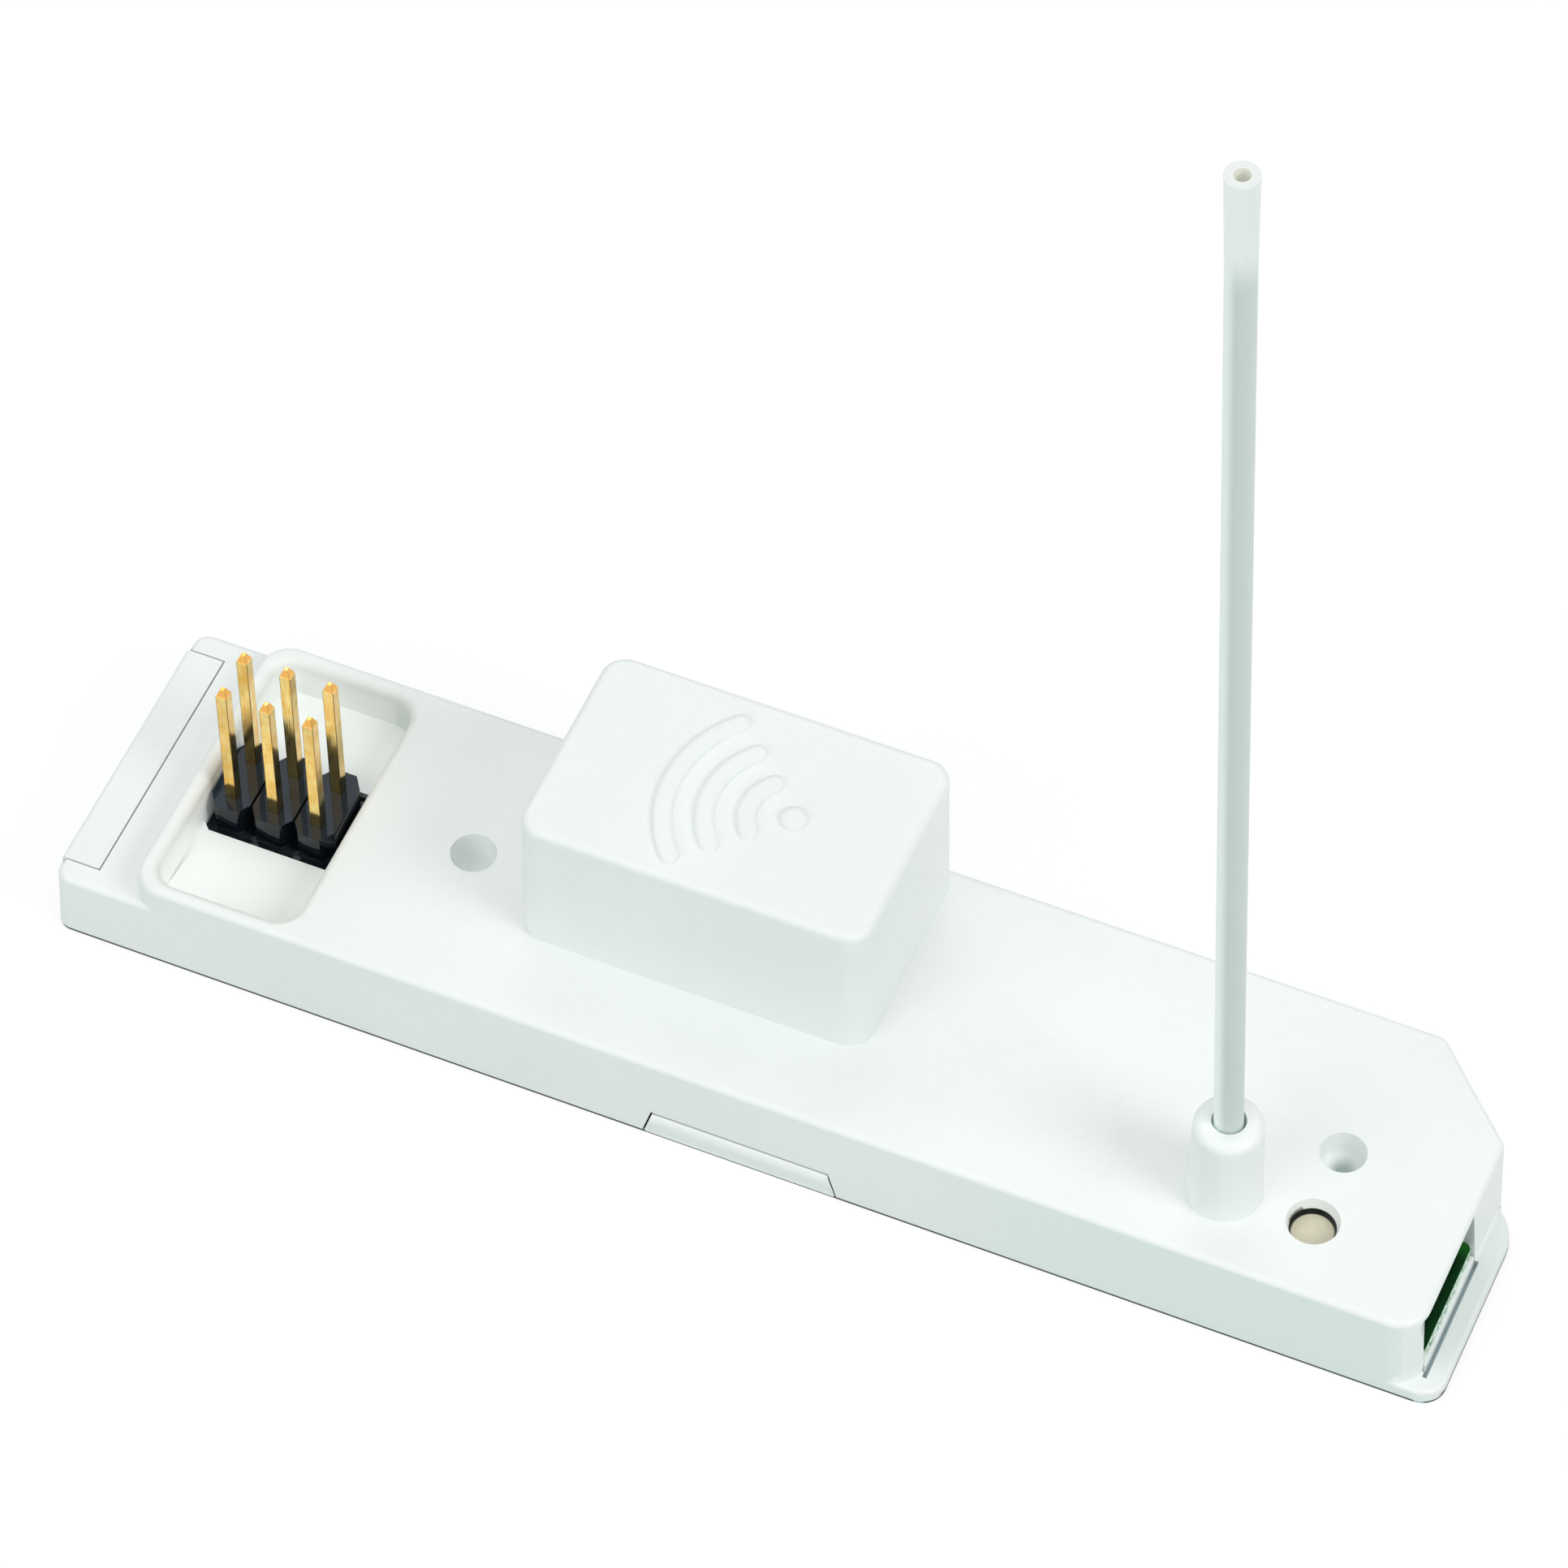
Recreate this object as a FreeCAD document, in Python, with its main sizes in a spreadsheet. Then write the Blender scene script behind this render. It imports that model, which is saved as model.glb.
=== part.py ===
import FreeCAD, Part
import os
import re
import Sketcher

# Plug-in radio module of a smoke alarm, in millimetres.
# Pieces are drawn from the front left bottom corner: X along the length, Y to the back, Z up.
# Every piece is then shifted so that the origin lies at the middle of the footprint.

SIZES = [
    # outer form of the top housing
    ("module_length", 79.65, "length with the end foot"),
    ("module_width", 18.5, "width at the foot"),
    ("top_height", 6.0, "height of the long top face"),
    ("wall_draft", 2.0, "draft of the outer walls in degrees"),
    ("foot_reach", 1.25, "how far the end foot stands beyond the end wall"),
    ("foot_top", 0.95, "height of the end foot"),
    ("foot_rest", 0.5, "how far the end foot stands back from the plane of the bevel"),
    ("foot_corner", 1.35, "front corner radius of the end foot"),
    ("foot_back_corner", 2.6, "back corner radius of the end foot"),
    ("bevel", 5.35, "leg of the bevelled back corner"),
    ("corner_radius", 0.9, "upright corner radius"),
    ("front_corner_radius", 1.9, "upright radius of the front corner at the foot end"),
    ("edge_radius", 0.35, "rounding along the top edges"),
    ("reveal_height", 0.2, "gap line under the housing"),
    ("reveal_inset", 0.03, "how far the bottom cover stands back in that line"),
    ("wall", 1.0, "wall of the housing"),
    ("skin", 1.0, "top skin of the housing"),
    # header recess and low ledge at the left end
    ("ledge_height", 4.4, "height of the ledge"),
    ("rim_left", 4.7, "outer left edge of the raised rim"),
    ("rim_corner", 1.75, "outer corner radius of the rim"),
    ("rim_width", 0.92, "width of the rim at the left and front"),
    ("rim_back_width", 1.0, "width of the rim at the back"),
    ("recess_room", 0.8, "room in the recess to the right of the header"),
    ("recess_floor", 3.45, "height of the recess floor"),
    ("recess_corner", 1.4, "corner radius of the recess"),
    ("recess_edge", 0.54, "rounding of the rim's inner edge"),
    ("recess_skin", 0.75, "thickness of the recess floor"),
    ("nose_wall", 1.05, "wall to the right of the recess"),
    ("slot_room", 0.62, "room in the opening before the header"),
    ("slot_gap", 0.12, "gap behind and beside the header"),
    ("slot_bevel", 0.45, "small bevel at the opening's front left corner"),
    # tongues of the bottom cover in both ends
    ("tongue_front", 1.4, "front edge of the left notch"),
    ("tongue_rest", 1.55, "from the left notch to the back of the module"),
    ("tongue_right", 2.35, "right edge of the left notch"),
    ("tongue_gap", 0.1, "gap line round a tongue"),
    ("window_front", 1.35, "front edge of the end window"),
    ("window_width", 7.55, "width of the end window at its foot"),
    ("window_lean", 0.45, "how far the back edge leans in at the top"),
    ("window_top", 5.6, "top edge of the end window"),
    ("window_slot", 0.22, "open slot outside the right tongue"),
    ("slot_reach", 0.32, "how far that slot runs on before the window"),
    # battery box
    ("box_left", 25.15, "left side of the battery box"),
    ("box_length", 20.1, "length of the battery box"),
    ("box_width", 12.95, "width of the battery box"),
    ("box_back_inset", 0.22, "box back face from the widest back edge"),
    ("box_top", 15.35, "height of the battery box"),
    ("box_draft", 0.6, "draft of the box walls in degrees"),
    ("box_corner", 1.5, "upright corner radius of the box"),
    ("box_edge", 0.45, "rounding along the box top"),
    # antenna collar, guide holes and button hole
    ("collar_from_end", 12.6, "antenna axis from the end wall"),
    ("collar_offset", 4.6, "antenna axis from the middle of the width"),
    ("collar_radius", 2.08, "radius at the collar's foot"),
    ("collar_top", 12.35, "height of the collar"),
    ("collar_draft", 1.7, "draft of the collar in degrees"),
    ("collar_edge", 0.6, "rounding of the collar's top"),
    ("collar_bore", 0.93, "radius of the collar's bore"),
    ("guide_radius", 1.27, "radius of the two guide holes"),
    ("guide_one_gap", 4.25, "first guide hole from the battery box"),
    ("guide_two_from_end", 7.75, "second guide hole from the end wall"),
    ("guide_one_depth", 2.4, "depth of the first guide hole"),
    ("guide_two_depth", 2.0, "depth of the second guide hole"),
    ("guide_draft", 6.0, "draft of the guide holes in degrees"),
    ("guide_bowl", 0.95, "rounding of the bottom of the guide holes"),
    ("post_wall", 0.75, "wall of the posts under the guide holes"),
    ("button_from_end", 7.65, "button axis from the end wall"),
    ("button_offset", 4.65, "button axis from the middle of the width"),
    ("button_bore", 1.26, "radius of the button hole"),
    ("button_mouth", 0.17, "how much wider the mouth of the button hole is"),
    ("button_mouth_depth", 0.62, "depth of that mouth"),
    ("button_room", 0.45, "how much wider the skin is opened below the mouth"),
    # snap tabs in the long sides
    ("tab_offset", 0.5, "how far the snap tabs sit right of the middle"),
    ("tab_length", 10.95, "length of the snap tabs at their foot"),
    ("tab_slope", 0.5, "how far each side leans in"),
    ("tab_height", 1.95, "top of the snap tabs"),
    ("tab_gap", 0.11, "gap beside a snap tab"),
    ("tab_round", 0.5, "rounding along the top of a tab"),
    # bottom cover
    ("floor_top", 0.8, "top of the bottom cover's floor"),
    ("floor_gap", 0.1, "gap between floor and housing walls"),
    ("seat_width", 0.8, "width of the ribs that carry the board"),
    # circuit board and header
    ("board_thickness", 1.0, "thickness of the circuit board"),
    ("board_gap", 0.2, "gap round the board"),
    ("board_rest", 0.2, "from the board's nose to the outside of the end wall"),
    ("board_nose_gap", 0.15, "gap beside the board's nose"),
    ("header_pitch", 2.54, "distance between pins"),
    ("header_start", 0.18, "from the recess edge to the header"),
    ("header_offset", 0.54, "how far the header sits behind the middle"),
    ("header_height", 2.54, "height of the header body"),
    ("header_top", 5.0, "top of the header body"),
    ("header_trim", 0.15, "how much the header body is under its pitch all round"),
    ("notch_half", 0.55, "half width of a notch between header cells"),
    ("notch_depth", 0.8, "depth of a notch between header cells"),
    ("groove_width", 0.12, "width of the grooves between header cells"),
    ("groove_depth", 0.3, "depth of those grooves"),
    ("base_height", 0.65, "height of the header's base plate"),
    ("pin_size", 0.64, "side of the square pins"),
    ("pin_reach", 9.16, "pin length above the header body"),
    ("pin_tail", 0.5, "pin length below the board"),
    ("pin_point", 0.5, "height of the pointed pin end"),
    ("pin_point_inset", 0.2, "how far the point draws in"),
    ("pin_hole", 0.5, "radius of the holes for the pins"),
    # antenna
    ("antenna_lean", 1.88, "lean of the antenna in degrees"),
    ("lean_drop", 0.6, "from the collar's top down to the point where the antenna leans"),
    ("antenna_tip", 72.15, "length of the sleeve above that point"),
    ("sleeve_depth", 4.3, "length of the sleeve below that point"),
    ("sleeve_radius", 0.78, "outer radius of the sleeve at the collar"),
    ("sleeve_flare", 0.08, "how much wider the sleeve is at its open end"),
    ("flare_length", 6.0, "length over which the sleeve widens"),
    ("sleeve_bore", 0.42, "inner radius of the sleeve"),
    ("wire_radius", 0.3, "radius of the antenna wire"),
    ("wire_stop", 7.5, "how far the wire ends inside the sleeve"),
    ("wire_hole", 0.45, "radius of the hole for the wire"),
    # code button
    ("button_radius", 1.17, "radius of the button"),
    ("button_top", 5.05, "top of the button"),
    ("button_travel", 0.25, "travel of the button"),
    ("button_crown", 0.06, "bevel of the button's rim"),
    ("switch_side", 4.5, "side of the switch body"),
    ("switch_height", 1.5, "height of the switch body"),
    ("switch_lid", 0.2, "thickness of the switch's metal lid"),
    ("switch_fit", 0.05, "gap between the button and the switch"),
    ("switch_well", 0.7, "depth of the well below the resting button"),
    # battery cell and its tags
    ("cell_radius", 5.2, "radius of the lithium cell"),
    ("cell_length", 15.6, "length of the lithium cell"),
    ("cell_bottom", 3.4, "lowest point of the lithium cell"),
    ("cell_cap", 0.35, "height of the raised cap"),
    ("tag_width", 2.4, "width of the cell tags"),
    ("tag_thickness", 0.25, "thickness of the cell tags"),
    ("tag_foot", 2.2, "length of a tag's foot on the board"),
    ("tag_top", 10.6, "upper end of the cell tags"),
]

# Values that follow from the sizes, as formulas in the sheet's names.
FORMULAS = {
    "end_wall": "module_length - foot_reach",
    "centre_y": "module_width / 2",
    "top_lean": "(top_height - reveal_height) * tan(wall_draft)",
    "foot_back": "module_width - bevel - foot_reach - foot_rest",
    "collar_x": "end_wall - collar_from_end",
    "collar_y": "centre_y - collar_offset",
    "button_x": "end_wall - button_from_end",
    "button_y": "centre_y - button_offset",
    "guide_one_x": "box_left - guide_one_gap",
    "guide_two_x": "end_wall - guide_two_from_end",
    "recess_left": "rim_left + rim_width",
    "recess_right": "header_right + recess_room",
    "recess_front": "rim_width + top_lean",
    "recess_back": "module_width - rim_back_width - top_lean",
    "nose_right": "recess_right + nose_wall",
    "slot_front": "header_front - slot_room",
    "tongue_back": "module_width - tongue_rest",
    "window_back": "window_front + window_width",
    "tab_left": "(module_length - tab_length) / 2 + tab_offset",
    "board_end": "end_wall - board_rest",
    "header_x": "header_left + header_pitch / 2 - header_trim",
    "header_y": "centre_y + header_offset - header_pitch / 2",
    "board_top": "header_top - header_height",
    "board_bottom": "board_top - board_thickness",
    "nose_top": "recess_floor - recess_skin",
    "box_back": "module_width - box_back_inset",
    "box_front": "box_back - box_width",
    "box_right": "box_left + box_length",
    "tab_right": "tab_left + tab_length",
    "header_left": "recess_left + header_start",
    "header_right": "header_x + header_pitch * 2.5 - header_trim",
    "header_front": "header_y - header_pitch / 2 + header_trim",
    "header_back": "header_y + header_pitch * 1.5 - header_trim",
    "board_inset": "wall + board_gap",
    "board_left": "tongue_right + wall + board_gap",
    "board_right": "end_wall - wall - board_gap",
    "cell_middle": "box_left + box_length / 2",
    "cell_axis_y": "box_front + box_width / 2",
    "cell_axis_z": "cell_bottom + cell_radius",
    "cell_start": "cell_middle - cell_length / 2",
    "cell_end": "cell_middle + cell_length / 2",
    "switch_top": "board_top + switch_height",
    "lid_top": "switch_top + switch_lid",
    "lean_foot": "collar_top - lean_drop",
    "board_lean": "(lean_foot - board_top) * tan(antenna_lean)",
}

doc = FreeCAD.newDocument("RadioModule")
sheet = doc.addObject("Spreadsheet::Sheet", "Sizes")
for row, (name, value, note) in enumerate(SIZES, start=1):
    sheet.set(f"A{row}", note)
    sheet.set(f"B{row}", str(value))
    sheet.setAlias(f"B{row}", name)
doc.recompute()
ALIASES = {name for name, value, note in SIZES}


def formula(text):
    """Writes a formula of plain size names as an expression on the sheet."""
    def swap(match):
        word = match.group()
        if word in FORMULAS:
            return "(" + formula(FORMULAS[word]) + ")"
        return "Sizes." + word if word in ALIASES else word
    return re.sub(r"[a-z_]+", swap, str(text))


def number(text):
    """The present value of a formula."""
    value = sheet.evalExpression(formula(text))
    return float(getattr(value, "Value", value))


def bind(thing, prop, text):
    thing.setExpression(prop, formula(text))


def new_body(label):
    body = doc.addObject("PartDesign::Body", label)
    body.Label = label
    bind(body, ".Placement.Base.x", "-module_length / 2")
    bind(body, ".Placement.Base.y", "-module_width / 2")
    return body


def new_sketch(body, name, level="0", role="XY_Plane"):
    """A sketch on one of the body's own planes, moved along its normal to the level."""
    sketch = body.newObject("Sketcher::SketchObject", name)
    plane = [item for item in body.Origin.OriginFeatures if item.Role == role][0]
    sketch.AttachmentSupport = (plane, [""])
    sketch.MapMode = "FlatFace"
    bind(sketch, ".AttachmentOffset.Base.z", level)
    return sketch


def pin_point(sketch, geometry, end, x, y):
    """Fixes a point of the sketch at two formulas."""
    for kind, text in (("DistanceX", x), ("DistanceY", y)):
        index = sketch.addConstraint(Sketcher.Constraint(kind, -1, 1, geometry, end, number(text)))
        bind(sketch, f"Constraints[{index}]", text)


def outline(sketch, corners):
    """A closed outline. A corner is (x, y), or (x, y, radius, centre) where an arc follows it."""
    points = [FreeCAD.Vector(number(corner[0]), number(corner[1]), 0) for corner in corners]
    count = len(corners)
    ends = []
    for index, corner in enumerate(corners):
        start, finish = points[index], points[(index + 1) % count]
        ends.append((1, 2))
        if len(corner) == 2:
            sketch.addGeometry(Part.LineSegment(start, finish), False)
            continue
        centre = FreeCAD.Vector(number(corner[3][0]), number(corner[3][1]), 0)
        if (start - centre).cross(finish - centre).z < 0:
            start, finish = finish, start
            ends[index] = (2, 1)
        half = (start + finish) / 2 - centre
        middle = centre + half * (number(corner[2]) / half.Length)
        sketch.addGeometry(Part.Arc(start, middle, finish), False)
    for index, corner in enumerate(corners):
        after = (index + 1) % count
        sketch.addConstraint(Sketcher.Constraint("Coincident", index, ends[index][1], after, ends[after][0]))
        pin_point(sketch, index, ends[index][0], corner[0], corner[1])
        if len(corner) > 2:
            place = sketch.addConstraint(Sketcher.Constraint("Radius", index, number(corner[2])))
            bind(sketch, f"Constraints[{place}]", corner[2])
    return sketch


def rectangle(sketch, left, front, right, back):
    return outline(sketch, [(left, front), (right, front), (right, back), (left, back)])


def rounded(sketch, left, front, right, back, radius):
    """A rectangle with round corners."""
    x_in, x_out = f"{left} + {radius}", f"{right} - {radius}"
    y_in, y_out = f"{front} + {radius}", f"{back} - {radius}"
    return outline(sketch, [
        (left, y_in, radius, (x_in, y_in)), (x_in, front),
        (x_out, front, radius, (x_out, y_in)), (right, y_in),
        (right, y_out, radius, (x_out, y_out)), (x_out, back),
        (x_in, back, radius, (x_in, y_out)), (left, y_out)])


def circle(sketch, x, y, radius):
    index = sketch.addGeometry(Part.Circle(FreeCAD.Vector(number(x), number(y), 0),
                                           FreeCAD.Vector(0, 0, 1), number(radius)), False)
    pin_point(sketch, index, 3, x, y)
    place = sketch.addConstraint(Sketcher.Constraint("Radius", index, number(radius)))
    bind(sketch, f"Constraints[{place}]", radius)
    return sketch


def pad(body, sketch, length, taper="0", both=False):
    """Raises a sketch. A positive taper draws the walls in."""
    feature = body.newObject("PartDesign::Pad", "Pad_" + sketch.Name)
    feature.Profile = sketch
    bind(feature, "Length", length)
    bind(feature, "TaperAngle", f"-({taper})")
    feature.Midplane = both
    doc.recompute()
    return feature


def pocket(body, sketch, depth, taper="0", upward=False, both=False):
    """Cuts a sketch downward, or upward. A positive taper narrows the hole with its depth."""
    before = body.Tip.Shape.Volume
    feature = body.newObject("PartDesign::Pocket", "Pocket_" + sketch.Name)
    feature.Profile = sketch
    bind(feature, "Length", depth)
    bind(feature, "TaperAngle", f"-({taper})")
    feature.Reversed = upward
    feature.Midplane = both
    doc.recompute()
    if feature.Shape.Volume > before - 1e-4:
        raise RuntimeError(f"{feature.Name} cuts nothing")
    return feature


def chosen_edges(feature, test):
    """Names of the edges whose box passes the test."""
    return [f"Edge{index}" for index, edge in enumerate(feature.Shape.Edges, start=1)
            if test(edge.BoundBox, edge)]


def fillet(body, name, radius, test):
    base = body.Tip
    edges = chosen_edges(base, test)
    if not edges:
        raise RuntimeError(f"{name} finds no edge")
    feature = body.newObject("PartDesign::Fillet", name)
    feature.Base = (base, edges)
    bind(feature, "Radius", radius)
    doc.recompute()
    return feature


def upright(box, low, high):
    """True for an edge that runs from one height to the other."""
    return abs(box.ZMin - low) < 0.01 and abs(box.ZMax - high) < 0.01


def level(box, height):
    """True for an edge that lies flat at a height."""
    return abs(box.ZMin - height) < 0.01 and abs(box.ZMax - height) < 0.01


def make_top_housing():
    body = new_body("top_housing")
    top, ledge = number("top_height"), number("ledge_height")
    end = number("end_wall")

    # The end foot is drawn first, so that its rounded edge runs cleanly into the wall.
    sketch = new_sketch(body, "end_foot", "reveal_height")
    outline(sketch, [("end_wall - 4", "0"), ("module_length", "0"), ("module_length", "foot_back"),
                     ("end_wall - 1", "foot_back + foot_reach + 1"),
                     ("end_wall - 4", "foot_back + foot_reach + 1")])
    pad(body, sketch, "foot_top - reveal_height", "wall_draft")
    for name, radius, side in (("foot_front_corner", "foot_corner", -1),
                               ("foot_back_corner_round", "foot_back_corner", 1)):
        fillet(body, name, radius,
               lambda box, edge: box.ZLength > number("foot_top / 2") and box.XMin > end
               and side * (box.YMin - number("centre_y / 2")) > 0)
    fillet(body, "foot_edge", "edge_radius * 0.7",
           lambda box, edge: level(box, number("foot_top")) and box.XMax > end)

    # A low block along the whole length gives the ledge at the left end.
    sketch = new_sketch(body, "low_block", "reveal_height")
    outline(sketch, [("0", "0"), ("end_wall - 3", "0"), ("end_wall - 3", "centre_y"),
                     ("end_wall - bevel - 2", "module_width"), ("0", "module_width")])
    pad(body, sketch, "ledge_height - reveal_height", "wall_draft")
    fillet(body, "left_corners", "corner_radius",
           lambda box, edge: box.ZLength > ledge / 2 and box.XMax < number("corner_radius"))
    fillet(body, "ledge_edges", "edge_radius",
           lambda box, edge: level(box, ledge) and box.XMin < number("tongue_right"))

    # The main form stands on it. Its left side is the outside of the rim.
    sketch = new_sketch(body, "outer_form", "reveal_height")
    turn = "corner_radius * tan(22.5)"
    half = "corner_radius * tan(22.5) * cos(45)"
    left, turned = "rim_left - top_lean", "(rim_corner + top_lean)"
    bevel_y, bevel_x = "module_width - bevel", "end_wall - bevel"
    outline(sketch, [
        (left, turned, turned, (f"{left} + {turned}", turned)),
        (f"{left} + {turned}", "0"),
        ("end_wall - front_corner_radius", "0", "front_corner_radius",
         ("end_wall - front_corner_radius", "front_corner_radius")),
        ("end_wall", "front_corner_radius"),
        ("end_wall", f"{bevel_y} - {turn}", "corner_radius",
         ("end_wall - corner_radius", f"{bevel_y} - {turn}")),
        (f"end_wall - {half}", f"{bevel_y} + {half}"),
        (f"{bevel_x} + {half}", f"module_width - {half}", "corner_radius",
         (f"{bevel_x} - {turn}", "module_width - corner_radius")),
        (f"{bevel_x} - {turn}", "module_width"),
        (f"{left} + {turned}", "module_width", turned,
         (f"{left} + {turned}", f"module_width - {turned}")),
        (left, f"module_width - {turned}")])
    pad(body, sketch, "top_height - reveal_height", "wall_draft")
    fillet(body, "top_edges", "edge_radius", lambda box, edge: level(box, top))

    sketch = new_sketch(body, "battery_box", "top_height - skin")
    rounded(sketch, "box_left", "box_front", "box_right", "box_back", "box_corner")
    pad(body, sketch, "box_top - top_height + skin", "box_draft")
    fillet(body, "box_top_edge", "box_edge",
           lambda box, edge: level(box, number("box_top")))

    sketch = circle(new_sketch(body, "collar", "top_height - skin"), "collar_x", "collar_y", "collar_radius")
    pad(body, sketch, "collar_top - top_height + skin", "collar_draft")
    fillet(body, "collar_round", "collar_edge",
           lambda box, edge: level(box, number("collar_top")))

    # The recess round the header, its rounded corners and rim.
    sketch = new_sketch(body, "recess", "top_height")
    rounded(sketch, "recess_left", "recess_front", "recess_right", "recess_back", "recess_corner")
    pocket(body, sketch, "top_height - recess_floor", "wall_draft")
    fillet(body, "recess_rim", "recess_edge",
           lambda box, edge: level(box, top) and box.XMin > number("rim_left + rim_width / 2")
           and box.XMax < number("nose_right"))

    # Hollow inside: a low room under the recess, a main room and the battery room.
    sketch = new_sketch(body, "low_room", "reveal_height")
    rectangle(sketch, "tongue_right + wall", "wall", "nose_right + wall / 2", "module_width - wall")
    pocket(body, sketch, "nose_top - reveal_height", upward=True)
    sketch = new_sketch(body, "main_room", "reveal_height")
    outline(sketch, [("nose_right", "wall"), ("end_wall - wall", "wall"),
                     ("end_wall - wall", "module_width - bevel - wall * tan(22.5)"),
                     ("end_wall - bevel - wall * tan(22.5)", "module_width - wall"),
                     ("nose_right", "module_width - wall")])
    pocket(body, sketch, "top_height - skin - reveal_height", upward=True)
    sketch = new_sketch(body, "battery_room", "top_height - skin - 0.5")
    rectangle(sketch, "box_left + wall", "box_front + wall", "box_right - wall", "box_back - wall")
    pocket(body, sketch, "box_top - skin - (top_height - skin - 0.5)", "box_draft", upward=True)

    # Openings: header, left notch with its passage, end window with its slot.
    sketch = new_sketch(body, "header_opening", "recess_floor + 0.1")
    outline(sketch, [("recess_left + slot_bevel + 0.1", "slot_front"),
                     ("header_right + slot_gap + 0.5", "slot_front"),
                     ("header_right + slot_gap + 0.5", "header_back + slot_gap"),
                     ("recess_left + 0.1", "header_back + slot_gap"),
                     ("recess_left + 0.1", "slot_front + slot_bevel")])
    pocket(body, sketch, "recess_skin + 0.2")
    sketch = new_sketch(body, "left_notch", "ledge_height + 0.5")
    rectangle(sketch, "-1", "tongue_front", "tongue_right", "tongue_back")
    pocket(body, sketch, "ledge_height + 0.5")
    sketch = new_sketch(body, "left_passage", "floor_top + floor_gap")
    rectangle(sketch, "tongue_right - 0.1", "tongue_front", "tongue_right + wall + 0.1", "tongue_back")
    pocket(body, sketch, "floor_top + floor_gap")
    sketch = new_sketch(body, "end_window", "end_wall - wall - 0.1", "YZ_Plane")
    outline(sketch, [("window_front", "0"), ("window_back", "0"), ("window_back", "foot_top"),
                     ("window_back - window_lean", "window_top"), ("window_front", "window_top")])
    pocket(body, sketch, "wall + 0.1", upward=True)
    sketch = new_sketch(body, "foot_slot", "foot_top + 0.1")
    rectangle(sketch, "end_wall - 0.03", "window_front - slot_reach", "end_wall + window_slot", "window_back")
    pocket(body, sketch, "foot_top + 0.2")

    # Trapezoid cut-outs in both long walls for the snap tabs.
    sketch = new_sketch(body, "tab_windows", "0", "XZ_Plane")
    outline(sketch, [("tab_left - tab_gap", "0"), ("tab_right + tab_gap", "0"),
                     ("tab_right + tab_gap", "reveal_height"),
                     ("tab_right + tab_gap - tab_slope", "tab_height"),
                     ("tab_left - tab_gap + tab_slope", "tab_height"),
                     ("tab_left - tab_gap", "reveal_height")])
    pocket(body, sketch, "module_width * 2 + 4", both=True)

    # Posts that press on the board, cored from above by the guide holes.
    for name, x, depth in (("guide_one", "guide_one_x", "guide_one_depth"),
                           ("guide_two", "guide_two_x", "guide_two_depth")):
        sketch = circle(new_sketch(body, name + "_post", "board_top"), x, "centre_y",
                        "guide_radius + post_wall")
        pad(body, sketch, "top_height - skin / 2 - board_top")
        sketch = circle(new_sketch(body, name + "_hole", "top_height"), x, "centre_y", "guide_radius")
        pocket(body, sketch, depth, "guide_draft")
        fillet(body, name + "_bowl", "guide_bowl",
               lambda box, edge: level(box, top - number(depth))
               and box.XMin > number(x + " - guide_radius") and box.XMax < number(x + " + guide_radius"))

    sketch = circle(new_sketch(body, "collar_hole", "collar_top"), "collar_x", "collar_y", "collar_bore")
    pocket(body, sketch, "collar_top - top_height + skin + 0.2")
    sketch = circle(new_sketch(body, "button_hole", "top_height - skin - 0.1"), "button_x", "button_y",
                    "button_bore + button_room")
    pocket(body, sketch, "skin + 0.1 - button_mouth_depth", upward=True)
    sketch = circle(new_sketch(body, "button_funnel", "top_height"), "button_x", "button_y",
                    "button_bore + button_mouth")
    pocket(body, sketch, "button_mouth_depth", "atan(button_mouth / button_mouth_depth)")
    return body


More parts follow.
